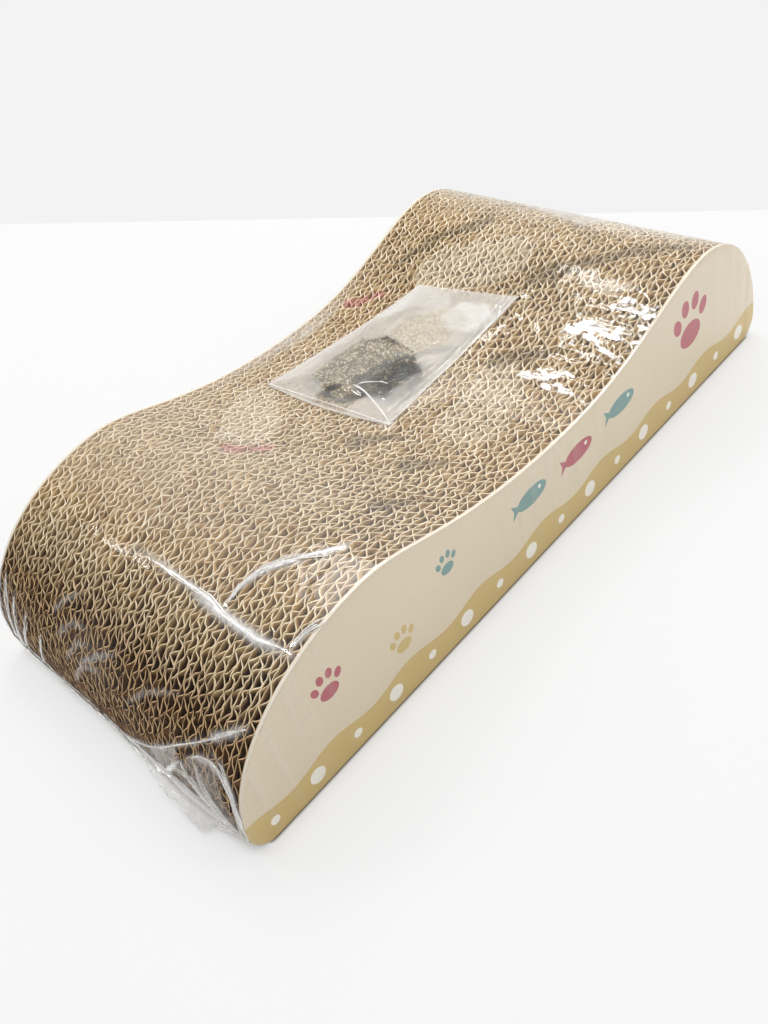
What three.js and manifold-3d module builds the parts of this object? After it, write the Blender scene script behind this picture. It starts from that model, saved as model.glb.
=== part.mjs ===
// Wave-shaped cat scratcher: a block of upright corrugated boards between two printed side covers,
// shrink-wrapped with a small bag of catnip lying in its dip.
// Millimetres. X runs along the length, front hump at -X, Y across, Z up; origin in the middle of the base.
import * as THREE from "three";
import { mergeVertices } from "three/addons/utils/BufferGeometryUtils.js";
import Module from "manifold-3d";

const wasm = await Module();
wasm.setup();

// Side profile, the die-cut outline that boards and covers share. Runs are lengths along X.
const LENGTH = 430;
const FRONT_RUN = 97; // front end to front crest
const FRONT_HEIGHT = 85.7;
const REAR_RUN = 59; // rear crest to rear end
const REAR_DROP = 1; // how much lower the rear crest is than the front one
const DIP_RUN = 126; // lowest point of the dip to rear crest
const DIP_HEIGHT = 60;
const NOSE_HEIGHT = 13; // height of the outermost point of both ends
const TUCK_RUN = 12; // how far both ends tuck in under that point
// Fullness of the wave beside each crest and beside the dip, as shares of the run between them
const FRONT_CREST_SHARE = 0.2;
const DIP_FRONT_SHARE = 0.62;
const DIP_REAR_SHARE = 0.48;
const REAR_CREST_SHARE = 0.28;

// Corrugated boards, stacked across Y
const BOARD_COUNT = 25;
const BOARD_THICKNESS = 7.85;
const GLUE_GAP = 0.3;
const FLUTE_PITCH = 9.2;
const FLUTE_DEPTH = 4.6;
const FLUTE_SHIFT = 0.382; // share of a pitch by which the flutes of each board lag those of the last

// Printed side covers
const COVER_THICKNESS = 1.5;

// Shrink wrap: an upper web over everything and a lower web under the base
const WRAP_THICKNESS = 0.25;
const WRAP_CLEARANCE = 0.3;
const TENT_SPREAD = 14; // how far past the bag the stretched wrap comes down to the boards
const TENT_SINK = 0.8; // depth under the boards' top at which the tent's slopes end
const TENT_DEPTH = 5;

// Catnip bag, lying on the boards
const BAG_LENGTH = 120;
const BAG_FRONT_WIDTH = 92;
const BAG_REAR_WIDTH = 72;
const BAG_EDGE = 1.6; // thickness at the rim
const BAG_CROWN = 5.6; // added thickness in the middle
const BAG_WALL = 0.4;
const BAG_AHEAD_OF_DIP = 51; // front edge of the bag, ahead of the dip
const BAG_RIGHT_EDGE = 19; // straight edge of the bag, to the right of the middle
const BAG_SEAT_GAP = 0.3;
const MOUTH_WIDTH = 60; // opening between the two walls at the rear edge
const MOUTH_HEIGHT = 0.4;

// Catnip heap inside the bag
const HEAP_CLEARANCE = 0.4;
const HEAP_FRONT_MARGIN = 14; // empty bag ahead of the heap
const HEAP_REAR_MARGIN = 10;
const HEAP_SIDE_MARGIN = 6;

// Fineness of the facets
const OUTLINE_STEP = 8; // distance between points of the smooth outline of covers and wrap
const STEEP_DEGREES = 45; // part of each end, from its nose, that is stepped by angle
const STEEP_STEPS = 4;
const TUCK_STEPS = 3;
const LEAST_STEP = 1; // least run from the steep part to the next point
const BAG_STEPS_ALONG = 6;
const BAG_STEPS_ACROSS = 5;
const HEAP_STEPS = 9; // per half of its oval
const HALVINGS = 40; // of the search for a height on the wave
const CUT_MARGIN = 2; // how far a cutting shape reaches past what it cuts
const WELD_DISTANCE = 1e-4; // corners closer than this count as one
const LEAST_CORNER_COSINE = 0.5; // keeps a sharp corner of a grown outline from running far out

const WIDTH = BOARD_COUNT * BOARD_THICKNESS + (BOARD_COUNT + 1) * GLUE_GAP + 2 * COVER_THICKNESS;
const BASE_Z = WRAP_THICKNESS + WRAP_CLEARANCE; // underside of boards and covers
const REAR_HEIGHT = FRONT_HEIGHT - REAR_DROP;
const FRONT_CREST_X = FRONT_RUN;
const REAR_CREST_X = LENGTH - REAR_RUN;
const DIP_X = REAR_CREST_X - DIP_RUN;
const BAG_X = DIP_X - BAG_AHEAD_OF_DIP;

const corrugated = { color: 0xc9ae83, roughness: 0.95, metalness: 0 };
const printedCard = { color: 0xd3c6b0, roughness: 0.55, metalness: 0 };
const clearWrap = { color: 0xf2f3f3, roughness: 0.12, metalness: 0, transparent: true, opacity: 0.25 };
const clearBag = { color: 0xe9e8e4, roughness: 0.25, metalness: 0, transparent: true, opacity: 0.4 };
const driedHerb = { color: 0x7d7355, roughness: 1, metalness: 0 };

const group = new THREE.Group();

function addPiece(name, geometry, look, x, y, z) {
  const piece = new THREE.Mesh(geometry, new THREE.MeshStandardMaterial(look));
  piece.name = name;
  piece.position.set(x, y, z);
  group.add(piece);
}

// Closed solid for cutting and joining, from a geometry whose faces share their corners
function toSolid(geometry) {
  const bare = geometry.clone();
  bare.deleteAttribute("normal");
  bare.deleteAttribute("uv");
  const merged = mergeVertices(bare, WELD_DISTANCE);
  return new wasm.Manifold(
    new wasm.Mesh({
      numProp: 3,
      vertProperties: new Float32Array(merged.attributes.position.array),
      triVerts: new Uint32Array(merged.index.array),
    }),
  );
}

function toGeometry(solid) {
  const mesh = solid.getMesh();
  const geometry = new THREE.BufferGeometry();
  geometry.setAttribute("position", new THREE.BufferAttribute(mesh.vertProperties, mesh.numProp));
  geometry.setIndex(new THREE.BufferAttribute(mesh.triVerts, 1));
  geometry.computeVertexNormals();
  return geometry;
}

// One side of the wave between a crest and the dip, level at both of its ends
function waveCurve(x0, z0, x1, z1, fullness0, fullness1) {
  const run = x1 - x0;
  return new THREE.CubicBezierCurve(
    new THREE.Vector2(x0, z0),
    new THREE.Vector2(x0 + fullness0 * run, z0),
    new THREE.Vector2(x1 - fullness1 * run, z1),
    new THREE.Vector2(x1, z1),
  );
}

const frontSlope = waveCurve(
  FRONT_CREST_X, FRONT_HEIGHT, DIP_X, DIP_HEIGHT, FRONT_CREST_SHARE, DIP_FRONT_SHARE,
);
const rearSlope = waveCurve(
  DIP_X, DIP_HEIGHT, REAR_CREST_X, REAR_HEIGHT, DIP_REAR_SHARE, REAR_CREST_SHARE,
);

function heightOnCurve(curve, x) {
  let low = 0;
  let high = 1;
  for (let i = 0; i < HALVINGS; i++) {
    const middle = (low + high) / 2;
    if (curve.getPoint(middle).x < x) low = middle;
    else high = middle;
  }
  return curve.getPoint(low).y;
}

function heightOnEnd(distanceFromCrest, run, height) {
  const share = Math.min(1, distanceFromCrest / run);
  return NOSE_HEIGHT + (height - NOSE_HEIGHT) * Math.sqrt(1 - share * share);
}

// Height of the cut top edge over the base, at x from the front end
function topHeight(x) {
  if (x < FRONT_CREST_X) return heightOnEnd(FRONT_CREST_X - x, FRONT_RUN, FRONT_HEIGHT);
  if (x > REAR_CREST_X) return heightOnEnd(x - REAR_CREST_X, REAR_RUN, REAR_HEIGHT);
  return x < DIP_X ? heightOnCurve(frontSlope, x) : heightOnCurve(rearSlope, x);
}

function quarterEllipse(centreX, centreZ, runX, runZ, fromDegrees, toDegrees, steps) {
  const points = [];
  for (let i = 0; i <= steps; i++) {
    const angle = THREE.MathUtils.degToRad(fromDegrees + ((toDegrees - fromDegrees) * i) / steps);
    points.push(new THREE.Vector2(centreX + runX * Math.cos(angle), centreZ + runZ * Math.sin(angle)));
  }
  return points;
}

// The whole side outline, counter-clockwise from the rear of the base. The steep part of each end is
// stepped by angle, and the rest of the top by the given places along X.
function sideOutline(stations) {
  const steepFront = FRONT_CREST_X - FRONT_RUN * Math.cos(THREE.MathUtils.degToRad(STEEP_DEGREES));
  const steepRear = REAR_CREST_X + REAR_RUN * Math.cos(THREE.MathUtils.degToRad(STEEP_DEGREES));
  const top = stations
    .filter((x) => x > steepFront + LEAST_STEP && x < steepRear - LEAST_STEP)
    .map((x) => new THREE.Vector2(x, topHeight(x)));
  return [
    ...quarterEllipse(LENGTH - TUCK_RUN, NOSE_HEIGHT, TUCK_RUN, NOSE_HEIGHT, -90, 0, TUCK_STEPS),
    ...quarterEllipse(
      REAR_CREST_X, NOSE_HEIGHT, REAR_RUN, REAR_HEIGHT - NOSE_HEIGHT,
      0, STEEP_DEGREES, STEEP_STEPS,
    ).slice(1),
    ...top.reverse(),
    ...quarterEllipse(
      FRONT_CREST_X, NOSE_HEIGHT, FRONT_RUN, FRONT_HEIGHT - NOSE_HEIGHT,
      180 - STEEP_DEGREES, 180, STEEP_STEPS,
    ),
    ...quarterEllipse(TUCK_RUN, NOSE_HEIGHT, TUCK_RUN, NOSE_HEIGHT, 180, 270, TUCK_STEPS).slice(1),
  ];
}

function stationsEvery(step, offset) {
  const stations = [];
  for (let x = offset; x < LENGTH; x += step) stations.push(x);
  return stations;
}

// Moves an outline outwards by a distance, corner by corner
function grownOutline(points, distance) {
  return points.map((point, i) => {
    const before = points[(i + points.length - 1) % points.length];
    const after = points[(i + 1) % points.length];
    const inward = new THREE.Vector2().subVectors(point, before).normalize();
    const onward = new THREE.Vector2().subVectors(after, point).normalize();
    const along = inward.clone().add(onward).normalize();
    const stretch = 1 / Math.max(LEAST_CORNER_COSINE, along.dot(onward));
    return new THREE.Vector2(along.y, -along.x).multiplyScalar(distance * stretch).add(point);
  });
}

// Plate of the side outline, its faces at y = 0 and y = thickness
function sidePlate(points, thickness) {
  const geometry = new THREE.ExtrudeGeometry(new THREE.Shape(points), {
    depth: thickness,
    bevelEnabled: false,
    steps: 1,
  });
  return geometry.rotateX(Math.PI / 2).translate(0, thickness, 0);
}

// Zigzag column of the whole fluted face, taller than the board, that trims a plate down to its flutes
function fluteCutter(ridges) {
  const beyond = BOARD_THICKNESS + 2 * CUT_MARGIN;
  const lowX = ridges[0];
  const highX = ridges[ridges.length - 1];
  const zigzag = [new THREE.Vector2(highX, beyond), new THREE.Vector2(lowX, beyond)];
  ridges.forEach((x, i) => {
    zigzag.push(new THREE.Vector2(x, BOARD_THICKNESS));
    if (i < ridges.length - 1) {
      zigzag.push(new THREE.Vector2(x + FLUTE_PITCH / 2, BOARD_THICKNESS - FLUTE_DEPTH));
    }
  });
  return new THREE.ExtrudeGeometry(new THREE.Shape(zigzag), {
    depth: Math.max(FRONT_HEIGHT, REAR_HEIGHT) + 2 * CUT_MARGIN,
    bevelEnabled: false,
    steps: 1,
  }).translate(0, 0, -CUT_MARGIN);
}

// A board: a flat liner face at y = 0, and upright V flutes cut through its other face from base to top
function fluteBoard(shift) {
  const ridges = stationsEvery(FLUTE_PITCH, -shift - FLUTE_PITCH);
  ridges.push(ridges[ridges.length - 1] + FLUTE_PITCH);
  const plate = toSolid(sidePlate(sideOutline(ridges), BOARD_THICKNESS + CUT_MARGIN));
  return toGeometry(plate.subtract(toSolid(fluteCutter(ridges))));
}

// Boards and covers, from the right side at -Y to the left side at +Y
const boardStep = BOARD_THICKNESS + GLUE_GAP;
const coverOutline = sideOutline(stationsEvery(OUTLINE_STEP, OUTLINE_STEP));
addPiece(
  "cover_right", sidePlate(coverOutline, COVER_THICKNESS), printedCard, -LENGTH / 2, -WIDTH / 2, BASE_Z,
);
for (let i = 0; i < BOARD_COUNT; i++) {
  const shift = ((i * FLUTE_SHIFT) % 1) * FLUTE_PITCH;
  const y = -WIDTH / 2 + COVER_THICKNESS + GLUE_GAP + i * boardStep;
  const name = `board_${String(i + 1).padStart(2, "0")}`;
  addPiece(name, fluteBoard(shift), corrugated, -LENGTH / 2, y, BASE_Z);
}
addPiece(
  "cover_left", sidePlate(coverOutline, COVER_THICKNESS), printedCard,
  -LENGTH / 2, WIDTH / 2 - COVER_THICKNESS, BASE_Z,
);

// Bag and heap are stepped at the same shares u along and v across the bag. The bag is a four-sided
// figure with its right edge parallel to X, and narrows towards the rear.
const evenShares = (steps) => Array.from({ length: steps + 1 }, (_, i) => i / steps);
const sharesAlong = evenShares(BAG_STEPS_ALONG);
const sharesAcross = evenShares(BAG_STEPS_ACROSS);
const bagWidth = (u) => THREE.MathUtils.lerp(BAG_FRONT_WIDTH, BAG_REAR_WIDTH, u);

// Closed pillow over part of the bag's plan, drawn in from its rim by an inset; heights depend on x, u and v
function pillow(along, across, inset, under, over) {
  const columns = along.length - 1;
  const rows = across.length - 1;
  const position = [];
  const index = [];
  const corner = (layer, i, j) => (layer * (columns + 1) + i) * (rows + 1) + j;
  for (const height of [under, over]) {
    for (const u of along) {
      for (const v of across) {
        const x = BAG_X + inset + u * (BAG_LENGTH - 2 * inset);
        const y = inset - BAG_RIGHT_EDGE + v * (bagWidth(u) - 2 * inset);
        position.push(x, y, height(x, u, v));
      }
    }
  }
  const quad = (a, b, c, d) => index.push(a, b, c, a, c, d);
  for (let i = 0; i < columns; i++) {
    for (let j = 0; j < rows; j++) {
      quad(corner(0, i, j), corner(0, i, j + 1), corner(0, i + 1, j + 1), corner(0, i + 1, j));
      quad(corner(1, i, j), corner(1, i + 1, j), corner(1, i + 1, j + 1), corner(1, i, j + 1));
    }
    quad(corner(0, i, 0), corner(0, i + 1, 0), corner(1, i + 1, 0), corner(1, i, 0));
    quad(corner(0, i + 1, rows), corner(0, i, rows), corner(1, i, rows), corner(1, i + 1, rows));
  }
  for (let j = 0; j < rows; j++) {
    quad(corner(0, 0, j + 1), corner(0, 0, j), corner(1, 0, j), corner(1, 0, j + 1));
    quad(corner(0, columns, j), corner(0, columns, j + 1), corner(1, columns, j + 1), corner(1, columns, j));
  }
  const geometry = new THREE.BufferGeometry();
  geometry.setAttribute("position", new THREE.Float32BufferAttribute(position, 3));
  geometry.setIndex(index);
  return geometry;
}

const crown = (u, v) => Math.sqrt(Math.sin(Math.PI * u) * Math.sin(Math.PI * v));
const bagUnder = (x) => topHeight(x) + BAG_SEAT_GAP;
const bagOver = (x, u, v) => bagUnder(x) + BAG_EDGE + BAG_CROWN * crown(u, v);

// Space inside the bag, drawn in from its upper and lower walls by a clearance
function bagHollow(clearance) {
  return pillow(
    sharesAlong, sharesAcross, BAG_WALL,
    (x) => bagUnder(x) + BAG_WALL + clearance,
    (x, u, v) => bagOver(x, u, v) - BAG_WALL - clearance,
  );
}

// Bag: two walls joined at the rim, hollow, with its mouth at the rear edge
const bagRear = BAG_X + BAG_LENGTH;
const mouth = new THREE.BoxGeometry(2 * CUT_MARGIN, MOUTH_WIDTH, MOUTH_HEIGHT).translate(
  bagRear, BAG_REAR_WIDTH / 2 - BAG_RIGHT_EDGE, bagUnder(bagRear) + BAG_EDGE / 2,
);
const bagWalls = toSolid(pillow(sharesAlong, sharesAcross, 0, bagUnder, bagOver))
  .subtract(toSolid(bagHollow(0)))
  .subtract(toSolid(mouth));
addPiece("catnip_bag", toGeometry(bagWalls), clearBag, -LENGTH / 2, 0, BASE_Z);

// Catnip: a low oval heap that fills the middle of the bag
const heapFront = BAG_X + HEAP_FRONT_MARGIN;
const heapRear = bagRear - HEAP_REAR_MARGIN;
const heapWidth = (BAG_FRONT_WIDTH + BAG_REAR_WIDTH) / 2 - 2 * HEAP_SIDE_MARGIN;
const heapPlan = new THREE.Shape().absellipse(
  (heapFront + heapRear) / 2, HEAP_SIDE_MARGIN + heapWidth / 2 - BAG_RIGHT_EDGE,
  (heapRear - heapFront) / 2, heapWidth / 2, 0, 2 * Math.PI,
);
const heapColumn = new THREE.ExtrudeGeometry(heapPlan, {
  depth: 2 * FRONT_HEIGHT,
  curveSegments: HEAP_STEPS,
  bevelEnabled: false,
  steps: 1,
});
const heap = toSolid(bagHollow(HEAP_CLEARANCE)).intersect(toSolid(heapColumn));
addPiece("catnip", toGeometry(heap), driedHerb, -LENGTH / 2, 0, BASE_Z);

// Space under the upper web: the whole block, and a tent that follows the bag and comes down to the boards
// past its rim, both grown by the same distance
function wrappedSpace(distance) {
  const outline = grownOutline(sideOutline(stationsEvery(OUTLINE_STEP, OUTLINE_STEP)), distance);
  const block = toSolid(sidePlate(outline, WIDTH + 2 * distance).translate(0, -WIDTH / 2 - distance, 0));
  const footAlong = TENT_SPREAD / BAG_LENGTH;
  const footAcross = TENT_SPREAD / BAG_FRONT_WIDTH;
  const overBag = (u, v) => u >= 0 && u <= 1 && v >= 0 && v <= 1;
  const tent = pillow(
    [-footAlong, ...sharesAlong, 1 + footAlong],
    [-footAcross, ...sharesAcross, 1 + footAcross],
    -distance,
    (x) => topHeight(x) - TENT_DEPTH,
    (x, u, v) => (overBag(u, v) ? bagOver(x, u, v) : topHeight(x) - TENT_SINK) + distance,
  );
  return block.add(toSolid(tent));
}

// Upper web: a thin skin over the block and the bag, open under the base
const skinDistance = WRAP_CLEARANCE + WRAP_THICKNESS;
const underneath = new THREE.BoxGeometry(LENGTH + 2 * CUT_MARGIN, WIDTH + 2 * CUT_MARGIN, 2 * CUT_MARGIN)
  .translate(LENGTH / 2, 0, -CUT_MARGIN);
addPiece(
  "wrap_upper_web",
  toGeometry(wrappedSpace(skinDistance).subtract(wrappedSpace(WRAP_CLEARANCE)).subtract(toSolid(underneath))),
  clearWrap, -LENGTH / 2, 0, BASE_Z,
);

// Lower web: a flat sheet under the base, as far as the block stands on it
const flatRun = LENGTH - 2 * TUCK_RUN;
addPiece(
  "wrap_lower_web", new THREE.BoxGeometry(flatRun, WIDTH + 2 * skinDistance, WRAP_THICKNESS), clearWrap,
  0, 0, WRAP_THICKNESS / 2,
);

export default group;
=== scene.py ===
"""Wave-shaped cat scratcher: upright corrugated boards between two printed side covers, shrink-wrapped
with a small bag of catnip lying in its dip. Sizes are written in millimetres and used in metres."""
import math

import bmesh
import bpy
import numpy as np
from mathutils import Matrix, Vector, geometry, noise


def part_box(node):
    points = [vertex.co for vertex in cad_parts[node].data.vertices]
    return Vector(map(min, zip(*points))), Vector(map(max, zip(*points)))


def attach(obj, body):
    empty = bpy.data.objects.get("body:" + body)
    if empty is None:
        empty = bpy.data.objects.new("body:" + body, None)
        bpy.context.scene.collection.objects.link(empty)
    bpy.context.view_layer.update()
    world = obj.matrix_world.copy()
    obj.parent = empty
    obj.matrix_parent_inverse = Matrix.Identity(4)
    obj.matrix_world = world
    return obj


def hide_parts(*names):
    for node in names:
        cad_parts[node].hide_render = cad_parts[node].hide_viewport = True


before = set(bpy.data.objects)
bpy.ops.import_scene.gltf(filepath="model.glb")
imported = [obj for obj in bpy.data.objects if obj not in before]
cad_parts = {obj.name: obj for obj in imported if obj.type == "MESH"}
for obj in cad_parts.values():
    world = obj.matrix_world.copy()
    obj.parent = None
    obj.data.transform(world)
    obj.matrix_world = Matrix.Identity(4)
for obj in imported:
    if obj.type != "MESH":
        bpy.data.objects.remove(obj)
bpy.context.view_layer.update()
scene = bpy.context.scene
scene.view_settings.view_transform = "Standard"
MM = 0.001

# Studio
# A white table that ends in front of a pale wall. Two wide soft lights stand to the right and above. The
# creases over the front hump mirror a long strip behind them, and the folds beside the bag a small lamp.
CAMERA_TARGET = Vector((-23.4, 0, -6.8)) * MM
CAMERA_DISTANCE = 566.0 * MM
CAMERA_AZIMUTH = math.radians(-35.94)  # 0 looks along +Y
CAMERA_ELEVATION = math.radians(42.19)
CAMERA_ROLL = math.radians(-16.75)
CAMERA_LENS = 33.83
LAMPS = [  # name, place and aim in metres, direction of the long side, size in metres, watts
    ("key_light", (0.9, -1.2, 1.2), (0, 0, 0), (0, 1, 0), (1.3, 1.3), 11),
    ("top_light", (0.6, 0.5, 1.5), (0, 0, 0), (0, 1, 0), (1.2, 1.2), 15),
    ("strip_light", (-0.493, 0.855, 0.955), (-0.16, 0, 0.08), (-0.03, -0.85, 0.52), (0.42, 0.06), 2.4),
    ("small_light", (0.485, 0.56, 1.11), (0.09, -0.08, 0.07), (0, 1, 0), (0.13, 0.09), 1.6),
]
FILL_STRENGTH = 0.52
WALL_COLOUR = "#F3F3F3"
TABLE_COLOUR = "#F8F8F8"
TABLE_CORNERS = [(-5.0, 3.0), (-5.0, -4.27), (2.0, -4.27), (-0.49, 2.12)]  # in metres
CONTACT_SHADOW_COLOUR = "#878074"  # painted contact shadow on the table where something all but touches it
CONTACT_SHADOW_REACH = 1.4 * MM
SHADE_REACH = 8.0 * MM
EVEN_SHARE = 0.76  # how much of an even white the camera sees in the table, the rest being its lit colour


def linear(text, alpha=1.0):
    """Linear colour of an sRGB hex colour."""
    shares = [int(text[i:i + 2], 16) / 255 for i in (1, 3, 5)]
    return [c / 12.92 if c <= 0.04045 else ((c + 0.055) / 1.055) ** 2.4 for c in shares] + [alpha]


def put(tree, kind, inputs=None, **settings):
    """Adds a node. Each input is a plain value, an output, or a node whose first output it is linked to."""
    node = tree.nodes.new(kind)
    for name, value in settings.items():
        setattr(node, name, value)
    for key, value in (inputs or {}).items():
        if isinstance(value, bpy.types.Node):
            value = value.outputs[0]
        if isinstance(value, bpy.types.NodeSocket):
            tree.links.new(value, node.inputs[key])
        else:
            node.inputs[key].default_value = value
    return node


def new_material(name):
    """An empty material and its tree."""
    material = bpy.data.materials.new(name)
    material.use_nodes = True
    material.node_tree.nodes.clear()
    return material, material.node_tree


back = Vector((
    math.sin(CAMERA_AZIMUTH) * math.cos(CAMERA_ELEVATION),
    -math.cos(CAMERA_AZIMUTH) * math.cos(CAMERA_ELEVATION),
    math.sin(CAMERA_ELEVATION),
))
camera = bpy.data.objects.new("camera", bpy.data.cameras.new("camera"))
camera.data.lens = CAMERA_LENS
camera.matrix_world = (
    Matrix.Translation(CAMERA_TARGET + back * CAMERA_DISTANCE)
    @ back.to_track_quat("Z", "Y").to_matrix().to_4x4()
    @ Matrix.Rotation(CAMERA_ROLL, 4, "Z")
)
scene.collection.objects.link(camera)
scene.camera = camera

world = bpy.data.worlds.new("studio")
scene.world = world
world.use_nodes = True
world.node_tree.nodes.clear()
path = put(world.node_tree, "ShaderNodeLightPath")
shown = 0.0
for ray in ("Is Camera Ray", "Is Glossy Ray", "Is Transmission Ray"):
    shown = put(world.node_tree, "ShaderNodeMath", {0: path.outputs[ray], 1: shown}, operation="ADD",
                use_clamp=True)
fill = put(world.node_tree, "ShaderNodeBackground", {"Color": linear("#FFFFFF"), "Strength": FILL_STRENGTH})
wall = put(world.node_tree, "ShaderNodeBackground", {"Color": linear(WALL_COLOUR), "Strength": 1.0})
both = put(world.node_tree, "ShaderNodeMixShader", {0: shown, 1: fill, 2: wall})
put(world.node_tree, "ShaderNodeOutputWorld", {0: both})

for name, place, aim, along, size, power in LAMPS:
    lamp = bpy.data.lights.new(name, "AREA")
    lamp.shape = "RECTANGLE"
    lamp.size, lamp.size_y = size
    lamp.energy = power
    away = (Vector(place) - Vector(aim)).normalized()
    across = away.cross(Vector(along)).normalized()
    holder = bpy.data.objects.new(name, lamp)
    axes = Matrix((across.cross(away), across, away)).transposed()
    holder.matrix_world = Matrix.Translation(place) @ axes.to_4x4()
    scene.collection.objects.link(holder)

table_mesh = bpy.data.meshes.new("table")
table_mesh.from_pydata([(x, y, 0.0) for x, y in TABLE_CORNERS], [], [range(len(TABLE_CORNERS))])
table = bpy.data.objects.new("table", table_mesh)
scene.collection.objects.link(table)
material, tree = new_material("white_table")
# Painted contact shadow: the table's colour turns dark where something all but touches it.
contact_shadow = put(tree, "ShaderNodeAmbientOcclusion", {"Distance": CONTACT_SHADOW_REACH})
contact_shadow = put(tree, "ShaderNodeMath", {0: contact_shadow.outputs["AO"], 1: 2.0}, operation="POWER")
colour = put(tree, "ShaderNodeMix", {0: contact_shadow, 6: linear(CONTACT_SHADOW_COLOUR), 7: linear(TABLE_COLOUR)},
             data_type="RGBA")
lit = put(tree, "ShaderNodeBsdfDiffuse", {"Color": colour.outputs[2]})
even = put(tree, "ShaderNodeEmission", {"Color": linear(WALL_COLOUR), "Strength": 1.0})
nearby = put(tree, "ShaderNodeAmbientOcclusion", {"Distance": SHADE_REACH})
seen = put(tree, "ShaderNodeLightPath").outputs["Is Camera Ray"]
for share in (nearby.outputs["AO"], contact_shadow, EVEN_SHARE):
    seen = put(tree, "ShaderNodeMath", {0: seen, 1: share}, operation="MULTIPLY")
surface = put(tree, "ShaderNodeMixShader", {0: seen, 1: lit, 2: even})
put(tree, "ShaderNodeOutputMaterial", {0: surface})
table_mesh.materials.append(material)

# Side profile
# The wave that boards and covers are cut to, in millimetres from the front end and up from the base.
# Its length and front height come from the frame, the rest are the sizes that the boards are drawn to.
cover_low, cover_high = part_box("cover_right")
LENGTH = (cover_high.x - cover_low.x) / MM
FRONT_X = cover_low.x / MM
BASE_Z = cover_low.z / MM
FRONT_HEIGHT = (cover_high.z - cover_low.z) / MM
FRONT_RUN = 97.0
REAR_RUN = 59.0
REAR_DROP = 1.0
DIP_RUN = 126.0
DIP_HEIGHT = 60.0
NOSE_HEIGHT = 13.0
TUCK_RUN = 12.0
FRONT_CREST_SHARE, DIP_FRONT_SHARE = 0.2, 0.62  # how much of a slope is drawn level at its ends
DIP_REAR_SHARE, REAR_CREST_SHARE = 0.48, 0.28
REAR_HEIGHT = FRONT_HEIGHT - REAR_DROP
REAR_CREST = LENGTH - REAR_RUN
DIP = REAR_CREST - DIP_RUN


def arc(centre_x, centre_z, run_x, run_z, start, end, count=60):
    """Points on an ellipse between two angles in degrees."""
    angles = np.radians(np.linspace(start, end, count))
    return np.c_[centre_x + run_x * np.cos(angles), centre_z + run_z * np.sin(angles)]


def slope(x0, z0, x1, z1, share0, share1, count=200):
    """Points on one side of the wave, level at both ends."""
    t = np.linspace(0, 1, count)[:, None]
    corners = [(x0, z0), (x0 + share0 * (x1 - x0), z0), (x1 - share1 * (x1 - x0), z1), (x1, z1)]
    weights = [(1 - t) ** 3, 3 * (1 - t) ** 2 * t, 3 * (1 - t) * t ** 2, t ** 3]
    return sum(weight * np.array(corner) for weight, corner in zip(weights, corners))


wave = np.vstack([
    arc(FRONT_RUN, NOSE_HEIGHT, FRONT_RUN, FRONT_HEIGHT - NOSE_HEIGHT, 180, 90)[:-1],
    slope(FRONT_RUN, FRONT_HEIGHT, DIP, DIP_HEIGHT, FRONT_CREST_SHARE, DIP_FRONT_SHARE)[:-1],
    slope(DIP, DIP_HEIGHT, REAR_CREST, REAR_HEIGHT, DIP_REAR_SHARE, REAR_CREST_SHARE)[:-1],
    arc(REAR_CREST, NOSE_HEIGHT, REAR_RUN, REAR_HEIGHT - NOSE_HEIGHT, 90, 0),
])
front_tuck = arc(TUCK_RUN, NOSE_HEIGHT, TUCK_RUN, NOSE_HEIGHT, 270, 180, 12)
rear_tuck = arc(LENGTH - TUCK_RUN, NOSE_HEIGHT, TUCK_RUN, NOSE_HEIGHT, 0, -90, 12)


def run_along(points):
    """Distance of each point of a line from its start, along the line."""
    return np.r_[0, np.cumsum(np.linalg.norm(np.diff(points, axis=0), axis=1))]


def evenly(points, step):
    """The same line with points about one step apart."""
    run = run_along(points)
    stops = np.linspace(0, run[-1], max(2, round(run[-1] / step) + 1))
    return np.c_[np.interp(stops, run, points[:, 0]), np.interp(stops, run, points[:, 1])]


def wave_height(x):
    """Height of the cut top edge at a distance from the front end."""
    return np.interp(x, wave[:, 0], wave[:, 1])


# Corrugated boards
# Twenty-five double-wall sheets of brown kraft board, each of three flat liners with a tall and a low
# layer of flutes glued between them. They are die-cut to the wave with the flutes upright, and glued
# face to face, so the top shows the cut edges of the paper.
BOARD_COUNT = 25
COLUMN_STEP = 0.8
CRUSH_DEPTH = 5.0  # how far under the cut edge the die has pushed the paper about
PUSHES = [(38.0, 4.0), (135.0, 3.0), (290.0, 2.6)]  # how fine, per metre, and how far
HELD_BY_COVERS = (93.0, 101.0)  # distance from the middle over which the covers stop that
OUTER_LINER = 0.26  # paper thickness, drawn a little thicker than real so that it shows
INNER_LINER = 0.40
MEDIUM = 0.52
TALL_PITCH = 9.15
LOW_PITCH = 7.6
TALL_SHARE = 0.575  # of the room between the liners
TALL_LAG, LOW_LAG = 0.382, 0.618  # of a pitch, by which each board's flutes lag those of the last
END_CROWDING = 0.7  # how much closer the flutes stand where the cut runs down the ends


def quads(rows, columns, turned=False):
    """Faces between rows of points, pointing the other way where they are turned."""
    faces = [
        (i * columns + j, (i + 1) * columns + j, (i + 1) * columns + j + 1, i * columns + j + 1)
        for i in range(rows - 1) for j in range(columns - 1)
    ]
    return [(a, d, c, b) for a, b, c, d in faces] if turned else faces


def mark(mesh, name, values):
    """Stores a number at each point of a mesh."""
    mesh.attributes.new(name, "FLOAT", "POINT").data.foreach_set("value", np.ravel(values))


def points_of(mesh):
    """Places of a mesh's points in millimetres, one row each."""
    places = np.empty(len(mesh.vertices) * 3)
    mesh.vertices.foreach_get("co", places)
    return places.reshape(-1, 3) / MM


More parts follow.
